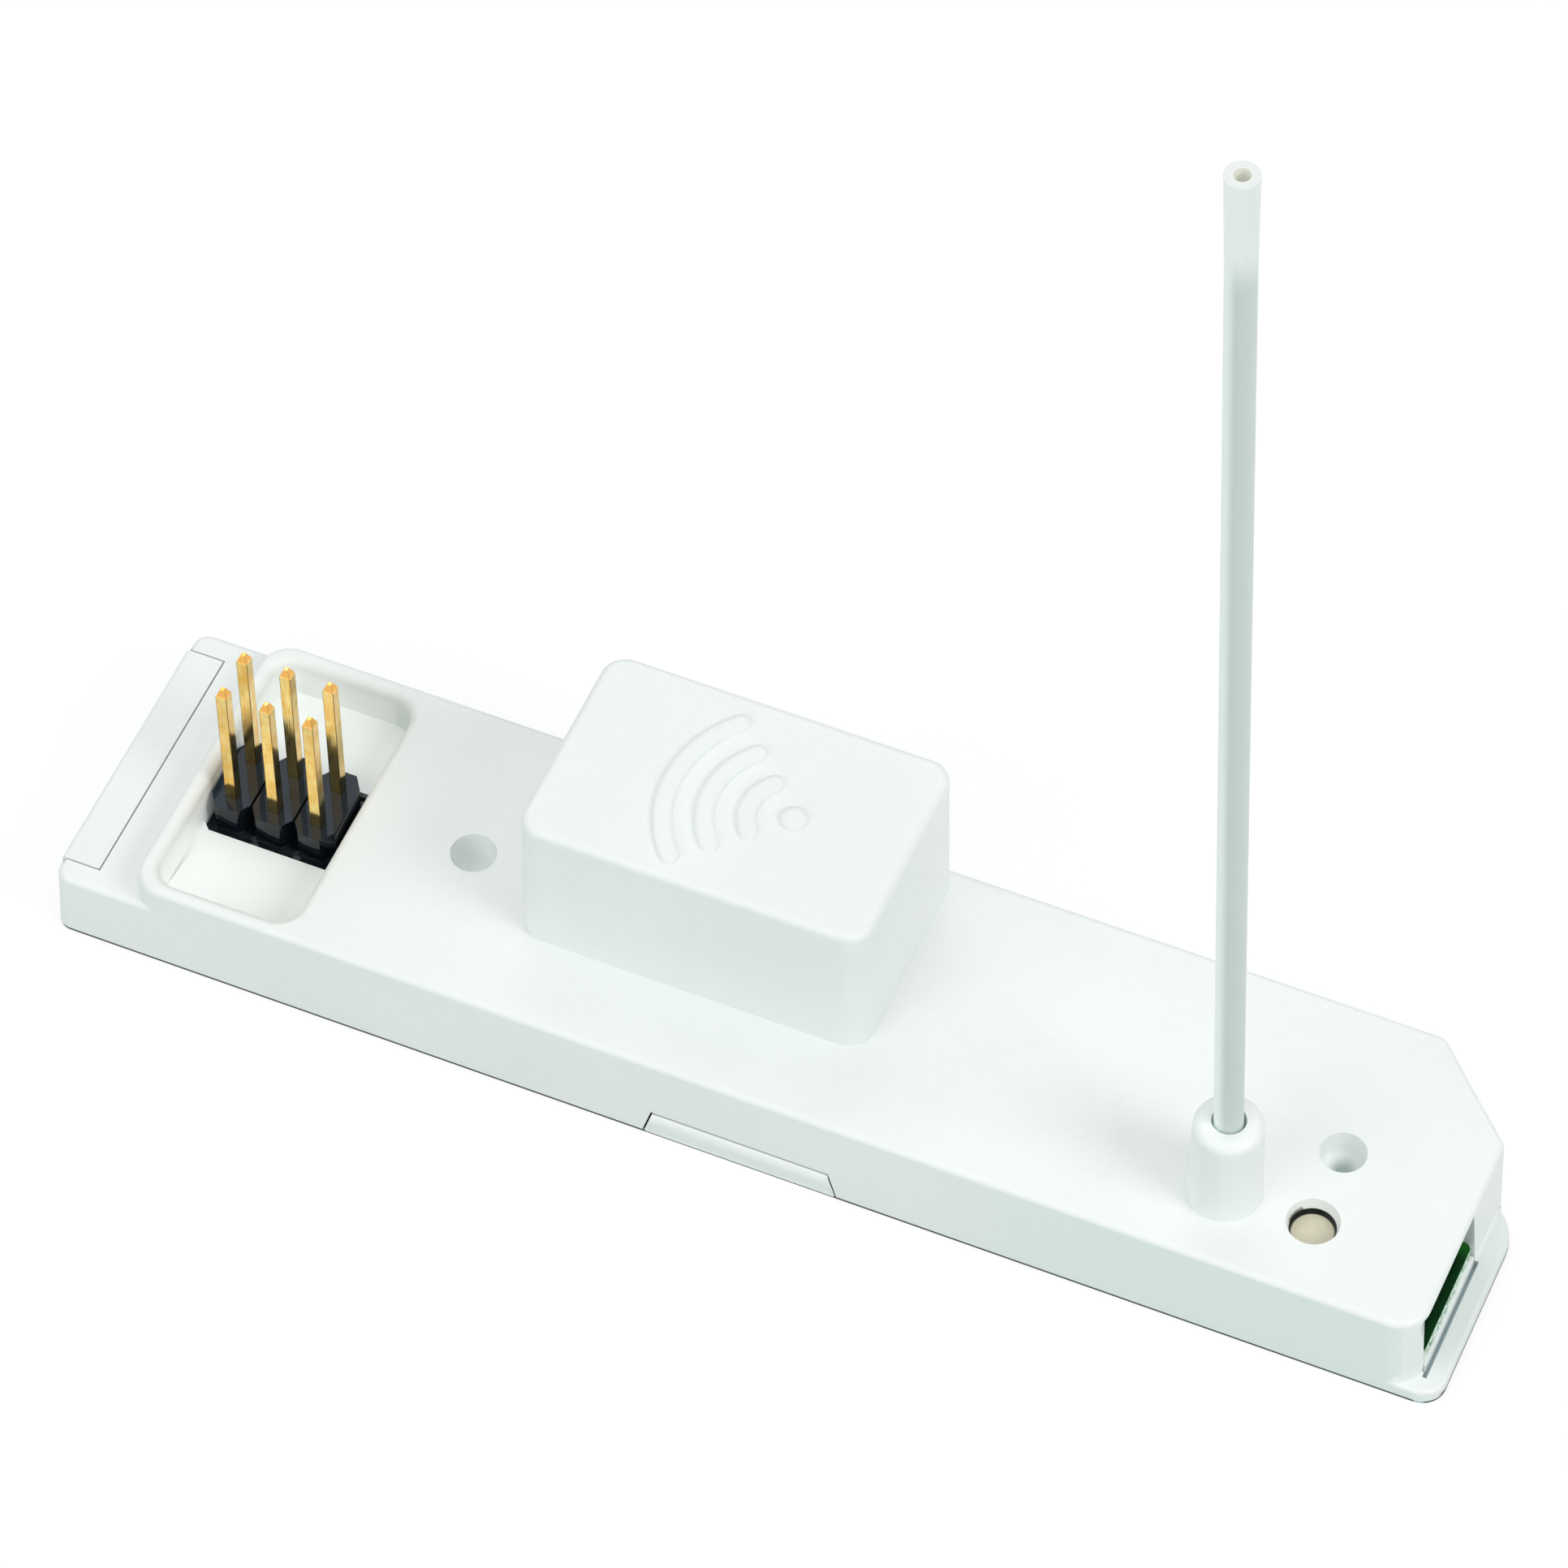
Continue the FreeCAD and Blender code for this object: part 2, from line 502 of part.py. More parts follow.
def make_bottom_cover():
    body = new_body("bottom_cover")
    foot = number("reveal_height")

    sketch = new_sketch(body, "foot_plate")
    outline(sketch, [
        ("reveal_inset", "reveal_inset"), ("module_length - reveal_inset", "reveal_inset"),
        ("module_length - reveal_inset", "foot_back - reveal_inset"),
        ("end_wall - reveal_inset", "foot_back + foot_reach - reveal_inset"),
        ("end_wall - reveal_inset", "module_width - bevel - reveal_inset"),
        ("end_wall - bevel - reveal_inset", "module_width - reveal_inset"),
        ("reveal_inset", "module_width - reveal_inset")])
    pad(body, sketch, "reveal_height")
    for name, radius, side in (("plate_front_corner", "foot_corner - reveal_inset", -1),
                               ("plate_back_corner", "foot_back_corner - reveal_inset", 1)):
        fillet(body, name, radius,
               lambda box, edge: upright(box, 0, foot) and box.XMin > number("end_wall")
               and side * (box.YMin - number("centre_y / 2")) > 0)
    fillet(body, "plate_left_corners", "corner_radius - reveal_inset",
           lambda box, edge: upright(box, 0, foot) and box.XMax < number("corner_radius"))

    # The floor stands up inside the walls of the housing.
    sketch = new_sketch(body, "floor", "reveal_height / 2")
    outline(sketch, [("tongue_right + wall + floor_gap", "wall + floor_gap"),
                     ("end_wall - wall - floor_gap", "wall + floor_gap"),
                     ("end_wall - wall - floor_gap", "module_width - bevel - wall - floor_gap"),
                     ("end_wall - bevel - wall - floor_gap", "module_width - wall - floor_gap"),
                     ("tongue_right + wall + floor_gap", "module_width - wall - floor_gap")])
    pad(body, sketch, "floor_top - reveal_height / 2")

    # Left tongue: an upright block that closes the notch, with a web to the floor.
    sketch = new_sketch(body, "left_tongue")
    rectangle(sketch, "0.03", "tongue_front + tongue_gap", "tongue_right - tongue_gap",
              "tongue_back - tongue_gap")
    pad(body, sketch, "ledge_height")
    fillet(body, "left_tongue_edge", "edge_radius * 0.7",
           lambda box, edge: level(box, number("ledge_height")) and box.XMax < number("tongue_right / 2"))
    sketch = new_sketch(body, "left_web")
    rectangle(sketch, "tongue_right - 0.4", "tongue_front + tongue_gap",
              "tongue_right + wall + floor_gap + 0.2", "tongue_back - tongue_gap")
    pad(body, sketch, "floor_top")

    # Right tongue: it fills the foot of the window and carries the end of the board.
    sketch = new_sketch(body, "right_tongue")
    rectangle(sketch, "end_wall - wall - 1.2", "window_front + tongue_gap", "end_wall - 0.02",
              "window_back - tongue_gap - 0.05")
    pad(body, sketch, "board_bottom")
    fillet(body, "right_tongue_edge", "0.12",
           lambda box, edge: level(box, number("board_bottom"))
           and box.XMin > number("end_wall - wall / 2"))

    # Snap tabs, flush with the drafted walls and rounded along the top.
    sketch = new_sketch(body, "tabs", "0", "XZ_Plane")
    outline(sketch, [("tab_left", "0"), ("tab_right", "0"), ("tab_right", "reveal_height"),
                     ("tab_right - tab_slope", "tab_height"), ("tab_left + tab_slope", "tab_height"),
                     ("tab_left", "reveal_height")])
    bind(sketch, ".AttachmentOffset.Base.z", "-module_width / 2")
    pad(body, sketch, "module_width - 0.1", both=True)
    fillet(body, "tab_edges", "tab_round",
           lambda box, edge: level(box, number("tab_height")) and box.XLength > number("tab_length / 2"))
    sketch = new_sketch(body, "between_tabs", "tab_height + 0.1")
    rectangle(sketch, "tab_left - 1", "wall + floor_gap", "tab_right + 1", "module_width - wall - floor_gap")
    pocket(body, sketch, "tab_height + 0.1 - floor_top")

    # Ribs that carry the board, and a hollow under the pin tails.
    for name, front, rear in (("front_rib", "board_inset", "board_inset + seat_width"),
                              ("back_rib", "module_width - board_inset - seat_width",
                               "module_width - board_inset")):
        sketch = new_sketch(body, name, "floor_top - 0.2")
        rectangle(sketch, "board_left + 1", front, "end_wall - bevel - wall - 1", rear)
        pad(body, sketch, "board_bottom - floor_top + 0.2")
    for name, x in (("cross_rib_one", "guide_one_x"), ("cross_rib_two", "guide_two_x")):
        sketch = new_sketch(body, name, "floor_top - 0.2")
        rectangle(sketch, x + " - seat_width / 2", "board_inset", x + " + seat_width / 2",
                  "module_width - bevel - wall")
        pad(body, sketch, "board_bottom - floor_top + 0.2")
    return body


def make_circuit_board():
    body = new_body("circuit_board")
    sketch = new_sketch(body, "board_form", "board_bottom")
    outline(sketch, [
        ("board_left", "board_inset"), ("board_right", "board_inset"),
        ("board_right", "window_front + board_nose_gap"),
        ("board_end", "window_front + board_nose_gap"),
        ("board_end", "window_back - board_nose_gap"),
        ("board_right", "window_back - board_nose_gap"),
        ("board_right", "module_width - bevel - board_inset"),
        ("board_right - bevel", "module_width - board_inset"),
        ("board_left", "module_width - board_inset")])
    pad(body, sketch, "board_thickness")
    fillet(body, "nose_corners", "0.4",
           lambda box, edge: box.XMin > number("board_end") - 0.01 and box.ZLength > 0.5)
    sketch = new_sketch(body, "holes", "board_top")
    for column in range(3):
        for row in range(2):
            circle(sketch, f"header_x + header_pitch * {column}", f"header_y + header_pitch * {row}",
                   "pin_hole")
    circle(sketch, "collar_x + board_lean", "collar_y", "wire_hole")
    pocket(body, sketch, "board_thickness + 0.2")
    return body


def make_header_block():
    body = new_body("header_block")
    sketch = new_sketch(body, "header_form", "board_top")
    corners = []
    for side in (0, 1):
        face = "header_front" if side == 0 else "header_back"
        inner = "header_front + notch_depth" if side == 0 else "header_back - notch_depth"
        run = []
        run.append(("header_left", inner))
        run.append(("header_left + notch_half", face))
        for column in (1, 2):
            line = f"header_x + header_pitch * ({column} - 0.5)"
            run.append((line + " - notch_half", face))
            run.append((line, inner))
            run.append((line + " + notch_half", face))
        run.append(("header_right - notch_half", face))
        run.append(("header_right", inner))
        corners += run if side == 0 else run[::-1]
    outline(sketch, corners)
    pad(body, sketch, "header_height")
    sketch = new_sketch(body, "base_plate", "board_top")
    rectangle(sketch, "recess_left + 0.15", "slot_front + 0.05", "header_right + slot_gap + 0.45",
              "header_back + slot_gap - 0.05")
    pad(body, sketch, "base_height")
    for column in (1, 2):
        line = f"header_x + header_pitch * ({column} - 0.5)"
        sketch = new_sketch(body, f"groove_{column}", "header_top")
        rectangle(sketch, line + " - groove_width / 2", "header_front", line + " + groove_width / 2",
                  "header_back")
        pocket(body, sketch, "groove_depth")
    sketch = new_sketch(body, "pin_holes", "header_top")
    for column in range(3):
        for row in range(2):
            x, y = f"header_x + header_pitch * {column}", f"header_y + header_pitch * {row}"
            add_square(sketch, x, y, "pin_size / 2")
    pocket(body, sketch, "header_height + 0.2")
    return body


def add_square(sketch, x, y, half):
    """Adds a closed square to a sketch that may hold others."""
    first = sketch.GeometryCount
    corners = [(f"{x} - {half}", f"{y} - {half}"), (f"{x} + {half}", f"{y} - {half}"),
               (f"{x} + {half}", f"{y} + {half}"), (f"{x} - {half}", f"{y} + {half}")]
    points = [FreeCAD.Vector(number(a), number(b), 0) for a, b in corners]
    for index in range(4):
        sketch.addGeometry(Part.LineSegment(points[index], points[(index + 1) % 4]), False)
    for index in range(4):
        after = first + (index + 1) % 4
        sketch.addConstraint(Sketcher.Constraint("Coincident", first + index, 2, after, 1))
        pin_point(sketch, first + index, 1, corners[index][0], corners[index][1])


def make_header_pin(index):
    """A square pin with pointed upper end. Odd pins stand in the front row."""
    column, row = index // 2, index % 2
    body = new_body(f"header_pin_{index + 1}")
    x, y = f"header_x + header_pitch * {column}", f"header_y + header_pitch * {row}"
    sketch = new_sketch(body, f"pin_form_{index + 1}", "board_bottom - pin_tail")
    add_square(sketch, x, y, "pin_size / 2")
    pad(body, sketch, "header_top + pin_reach - pin_point - board_bottom + pin_tail")
    sketch = new_sketch(body, f"pin_point_{index + 1}", "header_top + pin_reach - pin_point")
    add_square(sketch, x, y, "pin_size / 2")
    pad(body, sketch, "pin_point", "atan(pin_point_inset / pin_point)")
    return body


def lean_place(thing, start):
    """Puts a shape that is built from its own origin on the antenna's leaning axis."""
    bind(thing, ".Placement.Base.x", f"collar_x - module_length / 2 - ({start}) * sin(antenna_lean)")
    bind(thing, ".Placement.Base.y", "collar_y - module_width / 2")
    bind(thing, ".Placement.Base.z", f"lean_foot + ({start}) * cos(antenna_lean)")
    thing.Placement.Rotation.Axis = FreeCAD.Vector(0, 1, 0)
    bind(thing, ".Placement.Rotation.Angle", "-antenna_lean")


def make_antenna():
    """The sleeve is a long tube that widens at its open end. The wire runs down through the board."""
    below = "-sleeve_depth"
    tube = doc.addObject("Part::Cylinder", "sleeve_tube")
    bind(tube, "Radius", "sleeve_radius")
    bind(tube, "Height", f"antenna_tip - flare_length - ({below})")
    flare = doc.addObject("Part::Cone", "sleeve_end")
    bind(flare, "Radius1", "sleeve_radius")
    bind(flare, "Radius2", "sleeve_radius + sleeve_flare")
    bind(flare, "Height", "flare_length")
    bore = doc.addObject("Part::Cylinder", "sleeve_inner")
    bind(bore, "Radius", "sleeve_bore")
    bind(bore, "Height", f"antenna_tip - ({below}) + 2")
    lean_place(tube, below)
    lean_place(flare, "antenna_tip - flare_length")
    lean_place(bore, below + " - 1")
    outer = doc.addObject("Part::Fuse", "sleeve_outer")
    outer.Base, outer.Tool = tube, flare
    sleeve = doc.addObject("Part::Cut", "antenna_sleeve")
    sleeve.Base, sleeve.Tool = outer, bore
    wire = doc.addObject("Part::Cylinder", "antenna_wire")
    low = "board_bottom - pin_tail / 2 - lean_foot"
    bind(wire, "Radius", "wire_radius")
    bind(wire, "Height", f"antenna_tip - wire_stop - ({low})")
    lean_place(wire, low)
    return [sleeve, wire]


def make_code_button():
    body = new_body("code_button")
    sketch = circle(new_sketch(body, "button_form", "lid_top - switch_well"),
                    "button_x", "button_y", "button_radius")
    pad(body, sketch, "button_top - button_crown - lid_top + switch_well")
    sketch = circle(new_sketch(body, "button_face", "button_top - button_crown"),
                    "button_x", "button_y", "button_radius")
    pad(body, sketch, "button_crown", "45")
    return body


def make_switch():
    """The moulded switch body with a well for the button, and its pressed metal lid."""
    case = new_body("switch_body")
    sketch = new_sketch(case, "case_form", "board_top")
    half = "switch_side / 2"
    rectangle(sketch, "button_x - " + half, "button_y - " + half, "button_x + " + half, "button_y + " + half)
    pad(case, sketch, "switch_height")
    fillet(case, "case_corners", "0.3",
           lambda box, edge: upright(box, number("board_top"), number("switch_top")))
    sketch = circle(new_sketch(case, "case_well", "switch_top"), "button_x", "button_y",
                    "button_radius + switch_fit")
    pocket(case, sketch, "switch_well - switch_lid + button_travel + 0.05")

    lid = new_body("switch_lid")
    sketch = new_sketch(lid, "lid_form", "switch_top")
    half = "switch_side / 2 - 0.1"
    rectangle(sketch, f"button_x - ({half})", f"button_y - ({half})",
              f"button_x + {half}", f"button_y + {half}")
    pad(lid, sketch, "switch_lid")
    sketch = circle(new_sketch(lid, "lid_hole", "lid_top"), "button_x", "button_y",
                    "button_radius + switch_fit")
    pocket(lid, sketch, "switch_lid + 0.1")
    return [case, lid]


def make_lithium_cell():
    """A can turned about its long axis, with a raised cap at one end."""
    body = new_body("lithium_cell")
    sketch = new_sketch(body, "cell_profile", "-cell_axis_y", "XZ_Plane")
    axis = "cell_axis_z"
    outline(sketch, [
        ("cell_start", axis), ("cell_end + cell_cap", axis),
        ("cell_end + cell_cap", axis + " + cell_radius * 0.4"),
        ("cell_end", axis + " + cell_radius * 0.4"), ("cell_end", axis + " + cell_radius"),
        ("cell_start", axis + " + cell_radius")])
    feature = body.newObject("PartDesign::Revolution", "cell_turned")
    feature.Profile = sketch
    feature.ReferenceAxis = (sketch, ["Edge1"])
    feature.Angle = 360
    doc.recompute()
    return body


def make_cell_tag(label, wall, sign):
    """A bent strip: a long leg on the cell's end and a foot on the board."""
    body = new_body(label)
    sketch = new_sketch(body, label + "_profile", "-cell_axis_y", "XZ_Plane")
    out = f"{wall} + {sign} * tag_thickness"
    toe = f"{wall} + {sign} * tag_foot"
    outline(sketch, [(wall, "board_top"), (toe, "board_top"), (toe, "board_top + tag_thickness"),
                     (out, "board_top + tag_thickness"), (out, "tag_top"), (wall, "tag_top")])
    pad(body, sketch, "tag_width", both=True)
    edge_x = number(out)
    fillet(body, label + "_bend", "tag_thickness",
           lambda box, edge: abs(box.XMin - edge_x) < 0.01 and abs(box.XMax - edge_x) < 0.01
           and level(box, number("board_top + tag_thickness")))
    return body


# Parts soldered to the board: label, left edge, front edge, length, width, height, top bevel.
CHIPS = [
    ("radio_chip", "box_right + 3.75", "centre_y - 2.75", 5.0, 5.0, 0.9, 0.15),
    ("microcontroller", "box_right + 3.75", "module_width - board_inset - 4.7", 6.5, 3.9, 1.5, 0.25),
    ("crystal_can", "box_right + 9.5", "centre_y - 0.85", 3.2, 3.4, 1.2, 0.3),
    ("supply_capacitor", "guide_one_x - 3.9", "board_inset + 1.8", 3.5, 2.4, 1.9, 0.2),
    ("voltage_regulator", "guide_one_x - 3.4", "module_width - board_inset - 4.5", 2.9, 1.6, 1.1, 0.15),
    ("tuning_coil", "collar_x - 3.6", "collar_y + 2.35", 1.6, 0.8, 0.8, 0.1),
    ("status_led", "button_x - 3.35", "button_y + 2.6", 0.8, 1.6, 0.7, 0.1),
]

# Rows of small two-ended parts: label, left edge, front edge, places, step, length, width, height.
ROWS = [
    ("chip_resistors", "box_right + 11.2", "module_width - board_inset - 2.9",
     (0, 1, 2, 3), 1.6, 0.8, 1.6, 0.45),
    ("chip_capacitors", "box_right + 3", "board_inset + 1.2", (0, 1, 2, 3), 1.5, 0.8, 1.3, 0.7),
]


def board_block(name, left, front, length, width, height):
    """A block that stands on the board."""
    block = doc.addObject("Part::Box", name)
    block.Length, block.Width, block.Height = length, width, height
    bind(block, ".Placement.Base.x", f"{left} - module_length / 2")
    bind(block, ".Placement.Base.y", f"{front} - module_width / 2")
    bind(block, ".Placement.Base.z", "board_top")
    return block


def make_chip(label, left, front, length, width, height, edge):
    block = board_block(label + "_block", left, front, length, width, height)
    doc.recompute()
    piece = doc.addObject("Part::Chamfer", label)
    piece.Base = block
    high = number("board_top") + height
    piece.Edges = [(index, edge, edge) for index, side in enumerate(block.Shape.Edges, start=1)
                   if level(side.BoundBox, high)]
    return piece


def make_row(label, left, front, places, step, length, width, height):
    group = doc.addObject("Part::Compound", label)
    group.Links = [board_block(f"{label}_{place}".replace(".", "_"), f"{left} + {place} * {step}",
                               front, length, width, height) for place in places]
    return group


pieces = [make_top_housing(), make_bottom_cover(), make_circuit_board(), make_header_block()]
pieces += [make_header_pin(index) for index in range(6)]
pieces += make_antenna()
pieces += [make_code_button()] + make_switch()
pieces += [make_lithium_cell(), make_cell_tag("cell_tag_plus", "cell_end + cell_cap", "1"),
           make_cell_tag("cell_tag_minus", "cell_start", "-1")]
pieces += [make_chip(*chip) for chip in CHIPS]
pieces += [make_row(*row) for row in ROWS]
doc.recompute()

for item in doc.Objects:
    if "Invalid" in item.State or "Error" in item.State:
        raise RuntimeError(f"{item.Label} is {item.State}")

os.makedirs("parts", exist_ok=True)
for piece in pieces:
    shape = piece.Shape
    if shape.isNull() or not shape.isValid():
        raise RuntimeError(f"{piece.Label} has no valid shape")
    shape.exportStep(f"parts/{piece.Label}.step")
    size = shape.BoundBox
    print(f"{piece.Label}: {len(shape.Solids)} solid, {shape.Volume:.1f} mm3, "
          f"{size.XLength:.2f} x {size.YLength:.2f} x {size.ZLength:.2f}")
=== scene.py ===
import bpy
import bmesh
import math
import numpy as np
from mathutils import Matrix


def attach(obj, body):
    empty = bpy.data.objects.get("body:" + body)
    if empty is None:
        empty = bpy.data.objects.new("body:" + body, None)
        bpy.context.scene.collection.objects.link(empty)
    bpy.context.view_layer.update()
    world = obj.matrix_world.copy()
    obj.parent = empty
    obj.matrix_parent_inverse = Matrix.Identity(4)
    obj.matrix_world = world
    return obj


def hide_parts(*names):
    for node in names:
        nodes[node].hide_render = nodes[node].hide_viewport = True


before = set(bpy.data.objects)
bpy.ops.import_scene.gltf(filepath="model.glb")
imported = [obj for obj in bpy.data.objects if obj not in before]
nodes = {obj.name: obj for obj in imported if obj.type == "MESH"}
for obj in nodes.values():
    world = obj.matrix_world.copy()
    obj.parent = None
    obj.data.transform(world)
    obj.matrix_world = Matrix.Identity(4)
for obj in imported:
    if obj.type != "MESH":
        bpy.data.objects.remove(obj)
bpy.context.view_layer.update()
print("frame loaded:", len(nodes), "nodes")

mm = 0.001


# Node maths.

class Wire:
    # One output socket of a material. Arithmetic on it adds Math nodes.
    def __init__(self, tree, socket):
        self.tree = tree
        self.socket = socket

    def node(self, kind, settings=None, values=None, out=0):
        # Adds any node: its settings first, then the values or links of its sockets.
        made = self.tree.nodes.new(kind)
        for name, value in (settings or {}).items():
            setattr(made, name, value)
        for key, value in (values or {}).items():
            if isinstance(value, Wire):
                self.tree.links.new(value.socket, made.inputs[key])
            else:
                made.inputs[key].default_value = value
        return Wire(self.tree, made.outputs[out])

    def maths(self, operation, first, second=0.0):
        return self.node("ShaderNodeMath", {"operation": operation}, {0: first, 1: second})

    def __add__(self, other): return self.maths("ADD", self, other)
    def __radd__(self, other): return self.maths("ADD", other, self)
    def __sub__(self, other): return self.maths("SUBTRACT", self, other)
    def __rsub__(self, other): return self.maths("SUBTRACT", other, self)
    def __mul__(self, other): return self.maths("MULTIPLY", self, other)
    def __abs__(self): return self.maths("ABSOLUTE", self)

    def between(self, low, high):
        # 0 below low, 1 above high, smooth in between
        return self.node("ShaderNodeMapRange", {"interpolation_type": "SMOOTHSTEP"},
                         {"Value": self, "From Min": low, "From Max": high})

    def under(self, low, high):
        # 1 below low, 0 above high
        return 1 - self.between(low, high)

    def least(self, other): return self.maths("MINIMUM", self, other)
    def most(self, other): return self.maths("MAXIMUM", self, other)


def distance(first, second):
    # length of the hypotenuse over two lengths
    squares = first * first + second * second
    return squares.maths("SQRT", squares)


class Finish:
    # A material with its Principled shader, the object's own coordinates x, y and z, and how far a
    # face looks up or down (upright) or along x (sideways).
    def __init__(self, name, **sockets):
        self.material = bpy.data.materials.new(name)
        self.material.use_nodes = True
        self.tree = self.material.node_tree
        self.shader = self.tree.nodes["Principled BSDF"]
        coordinates = self.tree.nodes.new("ShaderNodeTexCoord")
        self.place = Wire(self.tree, coordinates.outputs["Object"])
        split = self.tree.nodes.new("ShaderNodeSeparateXYZ")
        self.tree.links.new(self.place.socket, split.inputs[0])
        self.x, self.y, self.z = (Wire(self.tree, split.outputs[index]) for index in range(3))
        normal = self.place.node("ShaderNodeNewGeometry", out="Normal")
        self.upright = abs(self.place.node("ShaderNodeSeparateXYZ", {}, {0: normal}, out=2))
        self.sideways = abs(self.place.node("ShaderNodeSeparateXYZ", {}, {0: normal}, out=0))
        for key, value in sockets.items():
            self.set(key.replace("_", " "), value)

    def set(self, key, value):
        socket = self.shader.inputs[key]
        if isinstance(value, Wire):
            self.tree.links.new(value.socket, socket)
        else:
            colour = isinstance(value, tuple) and len(value) == 3
            socket.default_value = (*value, 1.0) if colour else value

    def noise(self, size, detail, roughness=0.5, place=None):
        # noise with features of the given size in metres
        return self.place.node("ShaderNodeTexNoise", {}, {
            "Vector": place or self.place, "Scale": 1.0 / size,
            "Detail": detail, "Roughness": roughness})

    def fromAxis(self, x, y):
        # distance from an upright axis
        return distance(self.x - x, self.y - y)

    def mix(self, factor, first, second):
        first = (*first, 1.0) if isinstance(first, tuple) else first
        second = (*second, 1.0) if isinstance(second, tuple) else second
        return self.place.node("ShaderNodeMix", {"data_type": "RGBA"},
                               {0: factor, 6: first, 7: second}, out=2)

    def bump(self, height, depth, strength):
        self.set("Normal", self.place.node("ShaderNodeBump", {}, {
            "Height": height, "Distance": depth, "Strength": strength}))


def paint(thing, finish):
    thing.data.materials.clear()
    thing.data.materials.append(finish.material)


# Camera.

cameraView = {
    "place": (97.901 * mm, -224.871 * mm, 344.443 * mm),
    "right": (0.91881154, 0.39465326, -0.00584467),
    "down": (0.3109292, -0.73285206, -0.60518666),
    "forward": (-0.24312216, 0.55423521, -0.79606215),
    "lens": 181.18,
}


def makeCamera(view):
    data = bpy.data.cameras.new("camera")
    data.lens = view["lens"]
    data.sensor_width = 36.0
    data.sensor_fit = "HORIZONTAL"
    data.clip_end = 5.0
    camera = bpy.data.objects.new("camera", data)
    bpy.context.scene.collection.objects.link(camera)
    columns = np.eye(4)
    columns[:3, 0] = view["right"]
    columns[:3, 1] = -np.array(view["down"])
    columns[:3, 2] = -np.array(view["forward"])
    columns[:3, 3] = view["place"]
    camera.matrix_world = Matrix(columns.tolist())
    bpy.context.scene.camera = camera


makeCamera(cameraView)
print("camera placed")


# Finishes.

def mouldedWhite(name, colour, shift, paintedLightAndShade):
    # Satin moulded plastic: a fine spark-eroded grain, faint flow clouds and slightly uneven gloss.
    # shift moves these patterns, so that no two mouldings share them.
    # The last argument adds painted shade in gaps and hollows and on faces turned from the light,
    # and painted light as paler colour and as emission.
    finish = Finish(name, IOR=1.47)
    shifted = finish.place.node("ShaderNodeVectorMath", {"operation": "ADD"},
                                {0: finish.place, 1: (shift, shift * 0.7, shift * 1.3)})
    cloud = finish.noise(9 * mm, 3.0, place=shifted)
    fine = finish.noise(0.16 * mm, 2.0, place=shifted)
    speck = finish.noise(0.45 * mm, 2.0, 0.6, place=shifted)
    darker = tuple(value * 0.97 for value in colour)
    plastic = finish.mix((cloud * 0.7 + speck * 0.3).between(0.35, 0.65), darker, colour)
    plastic, paintedLight = paintedLightAndShade(finish, plastic)
    finish.set("Base Color", plastic)
    finish.set("Emission Color", paintedLight)
    finish.set("Emission Strength", 1.0)
    finish.set("Roughness", 0.36 + cloud * 0.08 + fine * 0.08)
    finish.bump(fine * 0.7 + speck * 0.3, 0.012 * mm, 0.4)
    return finish


# painted shade for the dark gaps and for the shadow line under the housing
gapShade = (0.035, 0.045, 0.045)
# no painted light: a black emission
noPaintedLight = (0, 0, 0)

# In the dictionaries of painted light and shade a pair says where it fades in or out, in the
# object's own coordinates. For steep and level faces it is a pair of values of upright. Triples are
# colours.
tabs = {
    "middle": 0.5 * mm,
    "outside": (7.9 * mm, 8.0 * mm),
    "top": (1.93 * mm, 1.97 * mm),
    "housingReach": 5.75 * mm,
    "coverReach": 5.6 * mm,
    "fade": 0.05 * mm,
    "sideways": (0.5, 0.8),
}


def tabGap(finish, reach):
    # the sides of the snap tabs and of their cut-outs, where they face each other and painted shade
    # darkens the gaps
    along = abs(finish.x - tabs["middle"])
    outer = abs(finish.y).between(*tabs["outside"])
    low = finish.z.under(*tabs["top"])
    close = along.under(reach, reach + tabs["fade"])
    return close * outer * low * finish.sideways.between(*tabs["sideways"])


recess = {
    "left": (-34.5 * mm, -34.3 * mm),
    "right": (-25.8 * mm, -25.6 * mm),
    "sides": (8.2 * mm, 8.4 * mm),
    "mouth": (4.8 * mm, 5.8 * mm),
    "leftWall": (-33.4 * mm, -32.8 * mm),
    "rightWall": (-27.6 * mm, -27.0 * mm),
    "steep": (0.3, 0.9),
    # painted light as a paler colour, painted shade on the right wall, painted light as emission
    "litPale": (0.93, 0.96, 0.95),
    "rightWallShade": (0.80, 0.86, 0.845),
    "paintedLight": (0.046, 0.05, 0.049),
}


def recessPaintedLightAndShade(finish, plastic):
    # Painted light: the recess is paler, with painted light as emission on its floor and left wall
    # most of all; painted shade greys its right wall.
    within = finish.x.between(*recess["left"]) * finish.x.under(*recess["right"])
    within = within * abs(finish.y).under(*recess["sides"])
    deep = within * finish.z.under(*recess["mouth"])
    wall = finish.upright.under(*recess["steep"])
    rightWallShade = deep * wall * finish.x.between(*recess["rightWall"])
    lit = 1 - wall * finish.x.between(*recess["leftWall"])
    plastic = finish.mix(deep, plastic, recess["litPale"])
    plastic = finish.mix(rightWallShade, plastic, recess["rightWallShade"])
    return plastic, finish.mix(deep * lit, noPaintedLight, recess["paintedLight"])


foot = {
    "start": (38.6 * mm, 38.75 * mm),
    "top": (0.95 * mm, 1.35 * mm),
    "front": (-8.3 * mm, -6.3 * mm),
    "end": (39.6 * mm, 39.78 * mm),
    "lowEdge": (0.36 * mm, 0.45 * mm),
    "shadeGrey": (0.80, 0.835, 0.825),
}


def footPaintedShade(finish, plastic):
    # Painted shade: the end foot is greyer, and its lower edge darkened as a shadow line.
    low = finish.x.between(*foot["start"]) * finish.z.under(*foot["top"])
    plastic = finish.mix(low * finish.y.between(*foot["front"]), plastic, foot["shadeGrey"])
    edge = finish.z.under(*foot["lowEdge"]) * finish.x.between(*foot["end"])
    return finish.mix(edge * (1 - finish.upright), plastic, gapShade)


